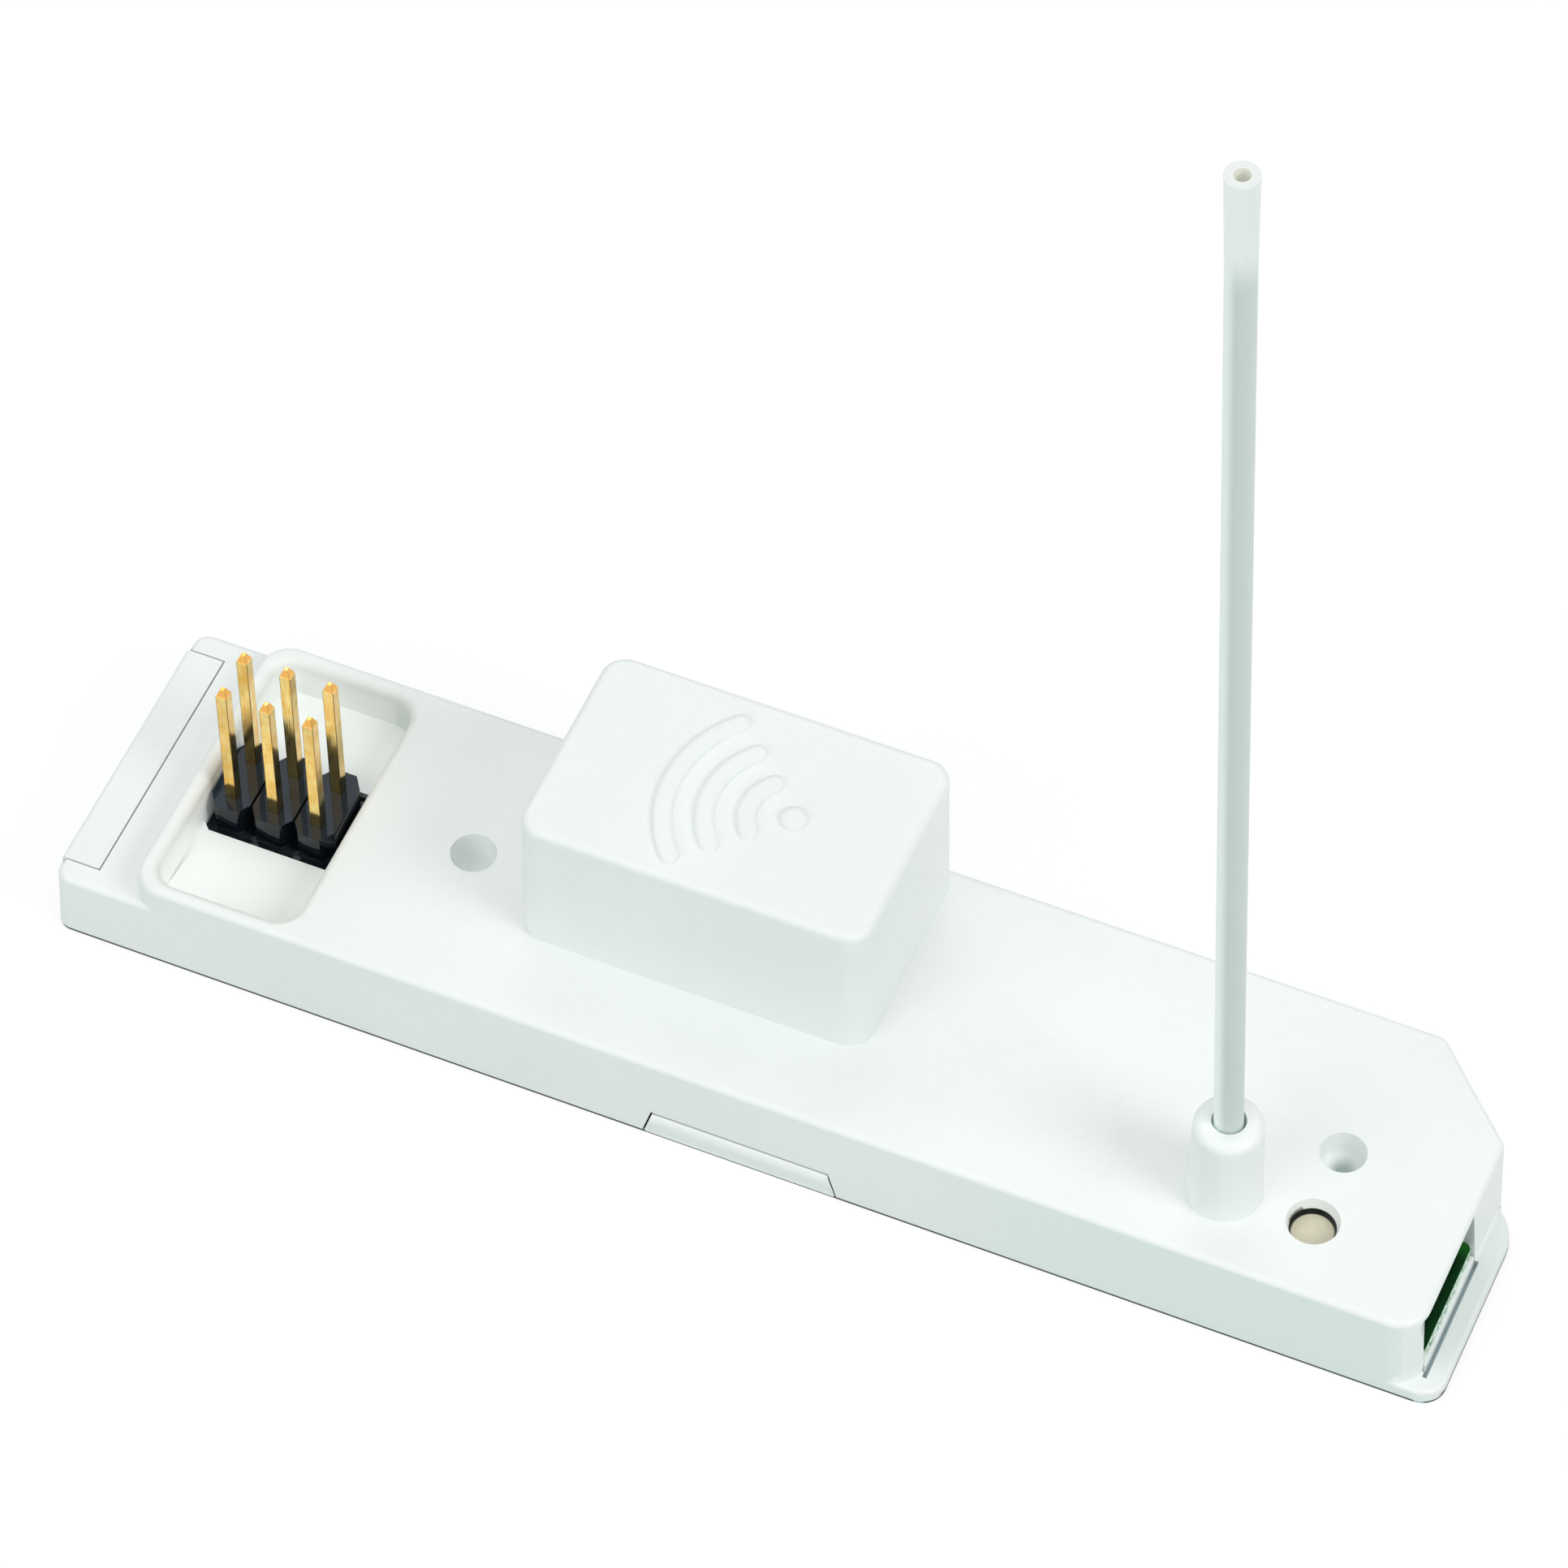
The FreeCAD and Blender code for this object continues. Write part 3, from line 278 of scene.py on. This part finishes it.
guideHoles = {
    "side": (1.2 * mm, 1.4 * mm),
    "firstX": -18.925 * mm,
    "firstDepth": (4.5 * mm, 5.5 * mm),
    "firstRight": (-19.6 * mm, -18.4 * mm),
    "firstPaintedLight": (0.05, 0.06, 0.06),
    "secondX": 30.825 * mm,
    "secondDepth": (4.2 * mm, 5.0 * mm),
    "secondLeft": (30.3 * mm, 31.3 * mm),
    "secondPaintedLight": (0.12, 0.127, 0.125),
    "spotY": 0.1 * mm,
    "spotSide": (0.2 * mm, 1.05 * mm),
    "spotShade": (0.40, 0.48, 0.47),
}


def guideHolePaintedLightAndShade(finish, plastic, paintedLight):
    # Painted shade: the second guide hole has a darker spot in its bottom; painted light on its
    # left.
    holes = guideHoles
    bowl = finish.fromAxis(holes["secondX"], 0).under(*holes["side"])
    bowl = bowl * finish.z.under(*holes["secondDepth"])
    spot = finish.fromAxis(holes["secondX"], holes["spotY"]).under(*holes["spotSide"])
    lit = (1 - spot) * finish.x.under(*holes["secondLeft"])
    plastic = finish.mix(bowl * spot, plastic, holes["spotShade"])
    paintedLight = finish.mix(bowl * lit, paintedLight, holes["secondPaintedLight"])
    # The first has painted light on its right.
    bowl = finish.fromAxis(holes["firstX"], 0).under(*holes["side"])
    bowl = bowl * finish.z.under(*holes["firstDepth"])
    paintedLight = finish.mix(bowl * finish.x.between(*holes["firstRight"]), paintedLight, holes["firstPaintedLight"])
    return plastic, paintedLight


# The antenna's axis: it leans to the left from this point. Its bore is a radius.
antennaAxis = {"x": 25.975 * mm, "y": -4.6 * mm, "z": 11.75 * mm, "lean": 1.88, "bore": 0.42 * mm}

collar = {
    "side": (2.2 * mm, 2.4 * mm),
    "foot": (6.1 * mm, 7.5 * mm),
    "left": (24.3 * mm, 25.6 * mm),
    "leftPaintedLight": (0.03, 0.033, 0.033),
    "rim": (11.5 * mm, 12.1 * mm),
    "front": (-5.6 * mm, -4.4 * mm),
    "rimPaintedLight": (0.045, 0.047, 0.05),
}


def paintedLightOnCollar(finish, paintedLight):
    # Painted light: the collar is paler at its left, and its rim at the front.
    near = finish.fromAxis(antennaAxis["x"], antennaAxis["y"]).under(*collar["side"])
    left = near * finish.z.between(*collar["foot"]) * finish.x.under(*collar["left"])
    paintedLight = finish.mix(left, paintedLight, collar["leftPaintedLight"])
    rim = near * finish.z.between(*collar["rim"]) * finish.y.under(*collar["front"])
    return finish.mix(rim, paintedLight, collar["rimPaintedLight"])


frontWall = {
    "outside": (-8.95 * mm, -8.85 * mm),
    "steep": (0.1, 0.4),
    "rightHalf": (4 * mm, 24 * mm),
    "strength": 0.8,
    # painted shade, darker and greener
    "green": (0.80, 0.88, 0.87),
}


def housingPaintedLightAndShade(finish, plastic):
    plastic, paintedLight = recessPaintedLightAndShade(finish, plastic)
    plastic = footPaintedShade(finish, plastic)
    plastic, paintedLight = guideHolePaintedLightAndShade(finish, plastic, paintedLight)
    # Painted shade: the long front wall is darker and greener towards the foot.
    front = finish.y.under(*frontWall["outside"]) * finish.upright.under(*frontWall["steep"])
    front = front * finish.x.between(*frontWall["rightHalf"]) * frontWall["strength"]
    plastic = finish.mix(front, plastic, frontWall["green"])
    paintedLight = paintedLightOnCollar(finish, paintedLight)
    # painted shade in the gaps beside the snap tabs
    return finish.mix(tabGap(finish, tabs["housingReach"]), plastic, gapShade), paintedLight


cover = {
    "tabEnds": (5.4 * mm, 5.5 * mm),
    "tabFace": (9.0 * mm, 9.1 * mm),
    "tabLift": 0.16 * mm,
    "underShadeTop": (0.19 * mm, 0.29 * mm),
    "level": (0.5, 0.8),
    "levelShade": (0.36, 0.45, 0.465),
    "slotLeft": (38.45 * mm, 38.55 * mm),
    "slotRight": (38.95 * mm, 39.1 * mm),
    "slotPaintedLight": (0.10, 0.135, 0.14),
    "seamBottom": (1.69 * mm, 1.73 * mm),
    "seamTop": (1.96 * mm, 2.0 * mm),
    "seamStrength": 0.6,
    "seamShade": (0.12, 0.15, 0.15),
    "highlightBottom": (0.7 * mm, 1.5 * mm),
    "highlightPale": (0.95, 0.955, 0.945),
    "highlightPaintedLight": (0.06, 0.06, 0.058),
}


def bottomPaintedLightAndShade(finish, plastic):
    # Painted shade in the shadow gap under the housing and in the slot before the end window, where
    # painted light also lifts the slot.
    onTab = abs(finish.x - tabs["middle"]).under(*cover["tabEnds"])
    onTab = onTab * abs(finish.y).between(*cover["tabFace"])
    underShade = (finish.z + onTab * cover["tabLift"]).under(*cover["underShadeTop"])
    slot = finish.x.between(*cover["slotLeft"]) * finish.x.under(*cover["slotRight"])
    level = finish.upright.between(*cover["level"])
    shade = finish.mix(slot.most(level), gapShade, cover["levelShade"])
    # The snap tabs: a painted shadow line along the top, under it a painted highlight band, painted
    # shade in the gaps at the sides.
    seam = finish.z.between(*cover["seamBottom"]) * finish.z.under(*cover["seamTop"]) * onTab
    tabHighlight = finish.z.between(*cover["highlightBottom"]) * onTab
    plastic = finish.mix(tabHighlight, plastic, cover["highlightPale"])
    plastic = finish.mix(seam * cover["seamStrength"], plastic, cover["seamShade"])
    plastic = finish.mix(underShade, plastic, shade)
    paintedLight = finish.mix(tabHighlight * (1 - seam), noPaintedLight, cover["highlightPaintedLight"])
    paintedLight = finish.mix(slot * underShade, paintedLight, cover["slotPaintedLight"])
    return finish.mix(tabGap(finish, tabs["coverReach"]), plastic, gapShade), paintedLight


finishes = {
    "housing": mouldedWhite("housingWhite", (0.888, 0.912, 0.901), 0.0, housingPaintedLightAndShade),
    "bottom": mouldedWhite("bottomWhite", (0.875, 0.907, 0.895), 0.37, bottomPaintedLightAndShade),
}


def fromNearest(value, start, pitch):
    # distance from the nearest place of a row with this start and pitch
    return value - start - value.maths("SNAP", value - start + pitch / 2, pitch)


pins = {
    "pitch": 2.54 * mm,
    "firstX": -32.905 * mm,
    "firstY": -0.73 * mm,
    "corner": (0.265 * mm, 0.30 * mm),
    "slopeStart": (13.68 * mm, 13.8 * mm),
    "level": (0.7, 0.9),
    "warm": (0.90, 0.50, 0.10),
    "gold": (1.0, 0.76, 0.30),
    "copper": (0.86, 0.46, 0.12),
    "cornerShade": (0.36, 0.19, 0.04),
}


def goldPlate(settings):
    # Flash gold on square wire: drawn lines along the pin and warm patches, still clear in
    # reflection. The pointed ends were cut after plating, so copper shows on their slopes.
    finish = Finish("pinGold", Metallic=1.0)
    stretched = finish.place.node("ShaderNodeMapping", {},
                                  {"Vector": finish.place, "Scale": (1.0, 1.0, 0.06)})
    drawn = finish.noise(0.07 * mm, 3.0, place=stretched)
    patch = finish.noise(0.9 * mm, 2.0)
    tone = (drawn * 0.5 + patch * 0.5).between(0.35, 0.65)
    plated = finish.mix(tone, settings["warm"], settings["gold"])
    slope = finish.z.between(*settings["slopeStart"]) * finish.upright.under(*settings["level"])
    plated = finish.mix(slope, plated, settings["copper"])
    # Painted shade: the upright edges are darkened.
    alongX = abs(fromNearest(finish.x, settings["firstX"], settings["pitch"]))
    alongY = abs(fromNearest(finish.y, settings["firstY"], settings["pitch"]))
    corner = alongX.least(alongY).between(*settings["corner"])
    plated = finish.mix(corner * (0.5 + patch), plated, settings["cornerShade"])
    finish.set("Base Color", plated)
    finish.set("Roughness", 0.07 + patch * 0.08 + drawn * 0.04)
    finish.bump(drawn, 0.006 * mm, 0.4)
    return finish


header = {
    "top": (4.75 * mm, 4.95 * mm),
    "level": (0.6, 0.9),
    "black": (0.003, 0.005, 0.008),
    "topSheen": (0.008, 0.020, 0.036),
    "swirl": (0.008, 0.012, 0.018),
}


def headerPlastic(settings):
    # Glossy black glass-filled moulding with faint swirls, and a painted bluish sheen on its top
    # faces.
    finish = Finish("headerBlack", IOR=1.38)
    swirl = finish.noise(1.1 * mm, 4.0, 0.6)
    fine = finish.noise(0.09 * mm, 2.0)
    top = finish.z.between(*settings["top"]) * finish.upright.between(*settings["level"])
    shade = finish.mix(top, settings["black"], settings["topSheen"])
    shade = finish.mix(swirl.between(0.4, 0.7) * 0.5, shade, settings["swirl"])
    finish.set("Base Color", shade)
    finish.set("Roughness", 0.03 + swirl * 0.05)
    finish.bump(fine * 0.5 + swirl * 0.5, 0.008 * mm, 0.3)
    return finish


sleeve = {
    "toRight": (0.92, 0.39),  # the direction in x and y that is the photo's right
    "wireEnd": (76.6 * mm, 79.4 * mm),
    "wireSide": (0.18 * mm, 0.66 * mm),
    "wireGrey": (0.595, 0.66, 0.63),
    "rimTurn": (-0.4 * mm, 0.4 * mm),
    "litRimLeft": (0.93, 1.0, 0.955),
    "shadedRimRight": (0.625, 0.70, 0.665),
    "emptyTurn": (-0.6 * mm, 0.3 * mm),
    "litEmptyLeft": (0.90, 0.94, 0.91),
    "shadedEmptyRight": (0.785, 0.82, 0.79),
    "emptyPaintedLight": (0.045, 0.05, 0.047),
    "level": (0.7, 0.9),
    "endRing": (0.79, 0.81, 0.81),
    # painted shade inside the bore
    "bore": (0.76, 0.765, 0.71),
    "collarTop": (12.2 * mm, 13.4 * mm),
    "collarPaintedLight": (0.06, 0.075, 0.077),
    "mouth": (80.5 * mm, 82.5 * mm),
    "mouthPaintedLight": (0.10, 0.103, 0.092),
}


def sleeveTube(antenna, settings):
    # Milky tubing: paler where it is empty near the open end, and greyer where the wire runs
    # inside, most of all along its middle. Its left side is lightened by painted light and its
    # right side darkened by painted shade, and painted shade darkens the bore. Painted light as
    # emission stands in for
    # light through the thin wall: on the empty end, low by the collar and in the mouth of the open
    # bore.
    finish = Finish("sleeveTube", IOR=1.45)
    core = finish.z.under(*settings["wireEnd"])
    ripple = finish.noise(5 * mm, 2.0)
    fine = finish.noise(0.2 * mm, 2.0)
    lean = math.tan(math.radians(antenna["lean"]))
    offX = finish.x + (finish.z - antenna["z"]) * lean - antenna["x"]
    offY = finish.y - antenna["y"]
    inside = distance(offX, offY).under(antenna["bore"] * 1.03, antenna["bore"] * 1.25)
    side = offX * settings["toRight"][0] + offY * settings["toRight"][1]
    rim = finish.mix(side.between(*settings["rimTurn"]), settings["litRimLeft"], settings["shadedRimRight"])
    wired = finish.mix(abs(side).between(*settings["wireSide"]), settings["wireGrey"], rim)
    turn = side.between(*settings["emptyTurn"])
    empty = finish.mix(turn, settings["litEmptyLeft"], settings["shadedEmptyRight"])
    shell = finish.mix(core * 0.9 + ripple * 0.1, empty, wired)
    shell = finish.mix(finish.upright.between(*settings["level"]), shell, settings["endRing"])
    finish.set("Base Color", finish.mix(inside, shell, settings["bore"]))
    paintedLight = finish.mix(core.most(finish.upright), settings["emptyPaintedLight"], noPaintedLight)
    paintedLight = finish.mix(finish.z.between(*settings["collarTop"]), settings["collarPaintedLight"], paintedLight)
    paintedLight = finish.mix(inside * finish.z.between(*settings["mouth"]), paintedLight, settings["mouthPaintedLight"])
    finish.set("Emission Color", paintedLight)
    finish.set("Emission Strength", 1.0)
    finish.set("Roughness", 0.28 + ripple * 0.1)
    finish.bump(ripple * 0.8 + fine * 0.2, 0.02 * mm, 0.4)
    return finish


def plainFinish(name, dark, light, size, roughness, metallic):
    # A two-tone mottled finish for small pieces.
    finish = Finish(name, Metallic=metallic)
    cloud = finish.noise(size, 3.0)
    fine = finish.noise(size * 0.12, 2.0)
    finish.set("Base Color", finish.mix(cloud, dark, light))
    finish.set("Roughness", roughness - 0.05 + cloud * 0.1)
    finish.bump(fine, 0.01 * mm, 0.3)
    return finish


board = {
    "level": (0.4, 0.6),
    "trackBricks": {"offset": 0.35, "squash": 1.6, "squash_frequency": 3},
    "trackScale": 300.0,
    "mask": (0.012, 0.075, 0.035),
    "track": (0.028, 0.135, 0.06),
    "shadeStart": (36.8 * mm, 37.4 * mm),
    "boardShade": (0.001, 0.004, 0.001),
    "greenStart": (37.5 * mm, 38.3 * mm),
    "shadeGreen": (0.001, 0.04, 0.006),
    "litSideStart": (-1.75 * mm, -0.6 * mm),
    "litSideGreen": (0.012, 0.135, 0.012),
    "edge": (0.80, 0.90, 0.82),
    "edgeTop": (1.9 * mm, 2.4 * mm),
    "edgeGreen": (0.46, 0.76, 0.52),
    "mottles": (0.48, 0.55),
    "mottleDark": (0.19, 0.32, 0.23),
}


def boardFinish(settings):
    # Green solder mask over copper tracks. Painted shade darkens the mask before the cut end,
    # fading to dark green at the end, and painted light leaves it bright green at one side. The cut
    # edge is pale and mottled, greener at its top.
    finish = Finish("boardGreen", IOR=1.25)
    face = finish.upright.between(*settings["level"])
    black, white = (0, 0, 0, 1), (1, 1, 1, 1)
    track = finish.place.node("ShaderNodeTexBrick", settings["trackBricks"], {
        "Vector": finish.place, "Scale": settings["trackScale"],
        "Mortar Size": 0.035, "Mortar Smooth": 0.2,
        "Color1": black, "Color2": black, "Mortar": white}, out="Fac")
    weave = finish.noise(0.25 * mm, 3.0)
    mask = finish.mix(track, settings["mask"], settings["track"])
    green = finish.x.between(*settings["greenStart"])
    boardShade = finish.mix(green, settings["boardShade"], settings["shadeGreen"])
    boardShade = finish.mix(finish.y.between(*settings["litSideStart"]), boardShade, settings["litSideGreen"])
    mask = finish.mix(finish.x.between(*settings["shadeStart"]), mask, boardShade)
    green = finish.z.between(*settings["edgeTop"])
    edge = finish.mix(green, settings["edge"], settings["edgeGreen"])
    edge = finish.mix(weave.between(*settings["mottles"]), edge, settings["mottleDark"])
    finish.set("Base Color", finish.mix(face, edge, mask))
    finish.set("Roughness", 0.6 - face * 0.3)
    finish.bump(track * face * 0.6 + weave * 0.4, 0.03 * mm, 0.4)
    return finish


finishes["pins"] = goldPlate(pins)
finishes["header"] = headerPlastic(header)
finishes["sleeve"] = sleeveTube(antennaAxis, sleeve)
finishes["board"] = boardFinish(board)

plainLooks = {
    # finish: material, dark tone, light tone, size of its clouds, roughness, metallic
    "button": ("buttonCream", (0.61, 0.57, 0.415), (0.72, 0.67, 0.53), 0.5 * mm, 0.42, 0.0),
    "wire": ("wireCopper", (0.30, 0.20, 0.14), (0.45, 0.32, 0.22), 0.6 * mm, 0.35, 1.0),
    "steel": ("sheetSteel", (0.50, 0.50, 0.50), (0.66, 0.66, 0.66), 1.0 * mm, 0.35, 1.0),
    "cell": ("cellSteel", (0.46, 0.46, 0.47), (0.60, 0.60, 0.61), 2.0 * mm, 0.32, 1.0),
    "chip": ("chipBlack", (0.012, 0.012, 0.014), (0.03, 0.03, 0.033), 0.4 * mm, 0.5, 0.0),
    "switch": ("switchBlack", (0.012, 0.012, 0.012), (0.03, 0.03, 0.03), 0.5 * mm, 0.45, 0.0),
    "capacitor": ("capacitorYellow", (0.50, 0.34, 0.06), (0.66, 0.46, 0.10), 0.6 * mm, 0.45, 0.0),
    "coil": ("coilBlue", (0.03, 0.06, 0.12), (0.06, 0.10, 0.18), 0.3 * mm, 0.4, 0.0),
    "led": ("ledClear", (0.70, 0.70, 0.60), (0.82, 0.82, 0.74), 0.4 * mm, 0.2, 0.0),
    "ceramic": ("ceramicTan", (0.30, 0.20, 0.12), (0.42, 0.30, 0.19), 0.3 * mm, 0.5, 0.0),
}
for finishName, look in plainLooks.items():
    finishes[finishName] = plainFinish(*look)
print("finishes made:", len(finishes))

wearers = {
    "bottom": ["bottom_cover"],
    "board": ["circuit_board"],
    "wire": ["antenna_wire"],
    "switch": ["switch_body"],
    "steel": ["switch_lid", "cell_tag_plus", "cell_tag_minus", "crystal_can"],
    "cell": ["lithium_cell"],
    "chip": ["radio_chip", "microcontroller", "voltage_regulator", "chip_resistors"],
    "capacitor": ["supply_capacitor"],
    "coil": ["tuning_coil"],
    "led": ["status_led"],
    "ceramic": ["chip_capacitors"],
}
for finishName, names in wearers.items():
    for name in names:
        paint(nodes[name], finishes[finishName])


# Smooth copies of the moulded nodes.

smoothing = {
    "sharpAngle": math.radians(32),
    "flatAngle": math.radians(0.3),
    "bevelAngle": math.radians(30),
    "bevel": 0.02 * mm,
}


def smoothCopy(node, name, body, finish, bevelled=False):
    # A copy that stands for a node, with its corners merged and shaded smooth up to an angle.
    mesh = nodes[node].data.copy()
    mesh.name = name
    piece = bpy.data.objects.new(name, mesh)
    bpy.context.scene.collection.objects.link(piece)
    work = bmesh.new()
    work.from_mesh(mesh)
    bmesh.ops.remove_doubles(work, verts=work.verts, dist=1e-6)
    bmesh.ops.dissolve_degenerate(work, edges=work.edges, dist=1e-7)
    bmesh.ops.dissolve_limit(work, angle_limit=smoothing["flatAngle"],
                             verts=work.verts, edges=work.edges)
    work.to_mesh(mesh)
    work.free()
    mesh.shade_smooth()
    mesh.set_sharp_from_angle(angle=smoothing["sharpAngle"])
    paint(piece, finish)
    if bevelled:
        rounding = piece.modifiers.new("rounding", "BEVEL")
        rounding.width = smoothing["bevel"]
        rounding.segments = 2
        rounding.limit_method = "ANGLE"
        rounding.angle_limit = smoothing["bevelAngle"]
        rounding.harden_normals = True
    else:
        # large faces decide the normals, so that flats stay flat beside their roundings
        weighing = piece.modifiers.new("weighing", "WEIGHTED_NORMAL")
        weighing.keep_sharp = True
        weighing.weight = 100
    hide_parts(node)
    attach(piece, body)


smoothCopy("top_housing", "housingShell", "module", finishes["housing"])
smoothCopy("antenna_sleeve", "sleeveSkin", "module", finishes["sleeve"])
smoothCopy("code_button", "buttonCap", "button", finishes["button"])
smoothCopy("header_block", "headerBody", "module", finishes["header"],
           bevelled=True)
for index in range(1, 7):
    smoothCopy(f"header_pin_{index}", f"pinBar{index}", "module", finishes["pins"],
               bevelled=True)
print("smooth copies made")


# Emblem on the box top.

emblem = {
    "centre": (-1.2 * mm, 2.3 * mm, 15.34 * mm),  # just inside the box top
    "turn": 90.0,
    "rise": 0.24 * mm,
    "slope": 0.1 * mm,
    "slopeSteps": 5,
    "dotHalfWidth": 0.72 * mm,
    "waveHalfWidth": 0.48 * mm,
    "waveRadii": (2.5 * mm, 4.7 * mm, 6.9 * mm),
    "waveEnds": (47, 133),
    "waveSteps": 28,
}


def reliefStrip(path, halfWidth, settings, name):
    # A raised bar along a path: flat top, soft sides that run down to the surface, round ends.
    # Each ring is the path's outline at one height, from the foot of the slope to the flat top.
    path = np.array(path, float)
    tangent = np.gradient(path, axis=0)
    tangent /= np.linalg.norm(tangent, axis=1)[:, None]
    side = np.stack([-tangent[:, 1], tangent[:, 0]], axis=1)
    rings = [(halfWidth + settings["slope"], 0.0)]
    for step in np.linspace(0, 1, settings["slopeSteps"] + 1)[1:]:
        reach = halfWidth + settings["slope"] * (1 - step)
        rings.append((reach, settings["rise"] * (0.5 - 0.5 * math.cos(math.pi * step))))
    rings.append((halfWidth * 0.5, settings["rise"]))  # inside the flat top
    turn = np.linspace(math.pi / 2, -math.pi / 2, 9)[1:-1]
    onward, aside = np.cos(turn)[:, None], np.sin(turn)[:, None]
    outline = []
    for reach, height in rings:
        left = path + side * reach
        right = path - side * reach
        endCap = path[-1] + reach * (onward * tangent[-1] + aside * side[-1])
        startCap = path[0] + reach * (-onward * tangent[0] - aside * side[0])
        loop = np.concatenate([left, endCap, right[::-1], startCap])
        outline.append(np.column_stack([loop, np.full(len(loop), height)]))
    count = len(outline[0])
    vertices = np.concatenate(outline)
    ring = np.arange(count)
    after = (ring + 1) % count
    faces = []
    for level in range(len(outline) - 1):
        low, high = level * count, (level + 1) * count
        faces += np.stack([low + after, low + ring, high + ring, high + after], axis=1).tolist()
    faces.append(((len(outline) - 1) * count + ring[::-1]).tolist())
    mesh = bpy.data.meshes.new(name)
    mesh.from_pydata(vertices.tolist(), [], faces)
    return mesh


def arcPath(radius, low, high, steps):
    angles = np.radians(np.linspace(low, high, steps))
    return np.stack([np.cos(angles), np.sin(angles)], axis=1) * radius


def makeEmblem(settings):
    # Generic wireless sign: a dot and three arcs, raised from the box top.
    work = bmesh.new()
    dot = np.array([(-0.01 * mm, 0), (0, 0), (0.01 * mm, 0)])  # so short that its bar is round
    parts = [(dot, settings["dotHalfWidth"])]
    for radius in settings["waveRadii"]:
        path = arcPath(radius, *settings["waveEnds"], settings["waveSteps"])
        parts.append((path, settings["waveHalfWidth"]))
    for index, (path, halfWidth) in enumerate(parts):
        mesh = reliefStrip(path, halfWidth, settings, f"emblem{index}")
        work.from_mesh(mesh)
        bpy.data.meshes.remove(mesh)
    turned = Matrix.Rotation(math.radians(settings["turn"]), 4, "Z")
    place = Matrix.Translation(settings["centre"])
    bmesh.ops.transform(work, matrix=place @ turned, verts=work.verts)
    bmesh.ops.recalc_face_normals(work, faces=work.faces)
    mesh = bpy.data.meshes.new("emblem")
    work.to_mesh(mesh)
    work.free()
    mesh.shade_smooth()
    piece = bpy.data.objects.new("emblem", mesh)
    bpy.context.scene.collection.objects.link(piece)
    paint(piece, finishes["housing"])
    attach(piece, "module")


makeEmblem(emblem)
print("emblem made")


# Floor, light.

studio = {
    "floorSize": 4.0,
    "floorColour": (0.55, 0.60, 0.59),
    "floorShadow": 0.22,  # share of the paper's own shading
    "paperGlow": 1.02,
    "worldColour": (0.94, 1.0, 0.99),
    "world": 0.52,
    "lamps": [
        # name, place, size, power, colour
        ("backLight", (-0.20, 0.46, 0.66), 0.60, 0.95, (1.0, 0.985, 0.988)),
        ("topLight", (0.10, -0.15, 0.84), 0.50, 0.85, (1.0, 0.982, 0.985)),
        ("frontLight", (-0.30, -0.62, 0.45), 0.60, 1.72, (0.98, 1.0, 0.99)),
        ("rightLight", (0.53, -0.10, 0.46), 0.34, 1.6, (1.0, 0.992, 0.988)),
    ],
}


def makeFloor(settings):
    # The camera sees white paper with a faint shadow. Everything else is lit by a pale grey table.
    half = settings["floorSize"] / 2
    mesh = bpy.data.meshes.new("floor")
    corners = [(-half, -half, 0), (half, -half, 0), (half, half, 0), (-half, half, 0)]
    mesh.from_pydata(corners, [], [(0, 1, 2, 3)])
    floor = bpy.data.objects.new("floor", mesh)
    bpy.context.scene.collection.objects.link(floor)
    finish = Finish("floorPaper", Roughness=0.9)
    finish.set("Base Color", settings["floorColour"])
    start = finish.place
    ray = {name: start.node("ShaderNodeLightPath", out=name)
           for name in ("Is Camera Ray", "Is Glossy Ray", "Is Transmission Ray")}
    seen = ray["Is Camera Ray"].most(ray["Is Glossy Ray"]).most(ray["Is Transmission Ray"])
    paper = start.node("ShaderNodeBsdfDiffuse", {}, {"Color": (1, 1, 1, 1)})
    white = start.node("ShaderNodeEmission", {},
                       {"Color": (1, 1, 1, 1), "Strength": settings["paperGlow"]})
    shown = start.node("ShaderNodeMixShader", {}, {0: settings["floorShadow"], 1: white, 2: paper})
    table = Wire(finish.tree, finish.shader.outputs[0])
    both = start.node("ShaderNodeMixShader", {}, {0: seen, 1: table, 2: shown})
    finish.tree.links.new(both.socket, finish.tree.nodes["Material Output"].inputs["Surface"])
    paint(floor, finish)


def makeLamps(settings):
    world = bpy.data.worlds.new("studio")
    bpy.context.scene.world = world
    world.use_nodes = True
    background = world.node_tree.nodes["Background"]
    background.inputs["Color"].default_value = (*settings["worldColour"], 1)
    background.inputs["Strength"].default_value = settings["world"]
    for name, place, size, power, colour in settings["lamps"]:
        data = bpy.data.lights.new(name, "AREA")
        data.shape = "DISK"
        data.size = size
        data.energy = power
        data.color = colour
        lamp = bpy.data.objects.new(name, data)
        bpy.context.scene.collection.objects.link(lamp)
        back = np.array(place) / np.linalg.norm(place)
        right = np.cross((0, 0, 1), back)
        right /= np.linalg.norm(right)
        columns = np.eye(4)
        columns[:3, 0], columns[:3, 1], columns[:3, 2] = right, np.cross(back, right), back
        columns[:3, 3] = place
        lamp.matrix_world = Matrix(columns.tolist())


makeFloor(studio)
makeLamps(studio)
bpy.context.scene.view_settings.view_transform = "Standard"
print("studio lit")
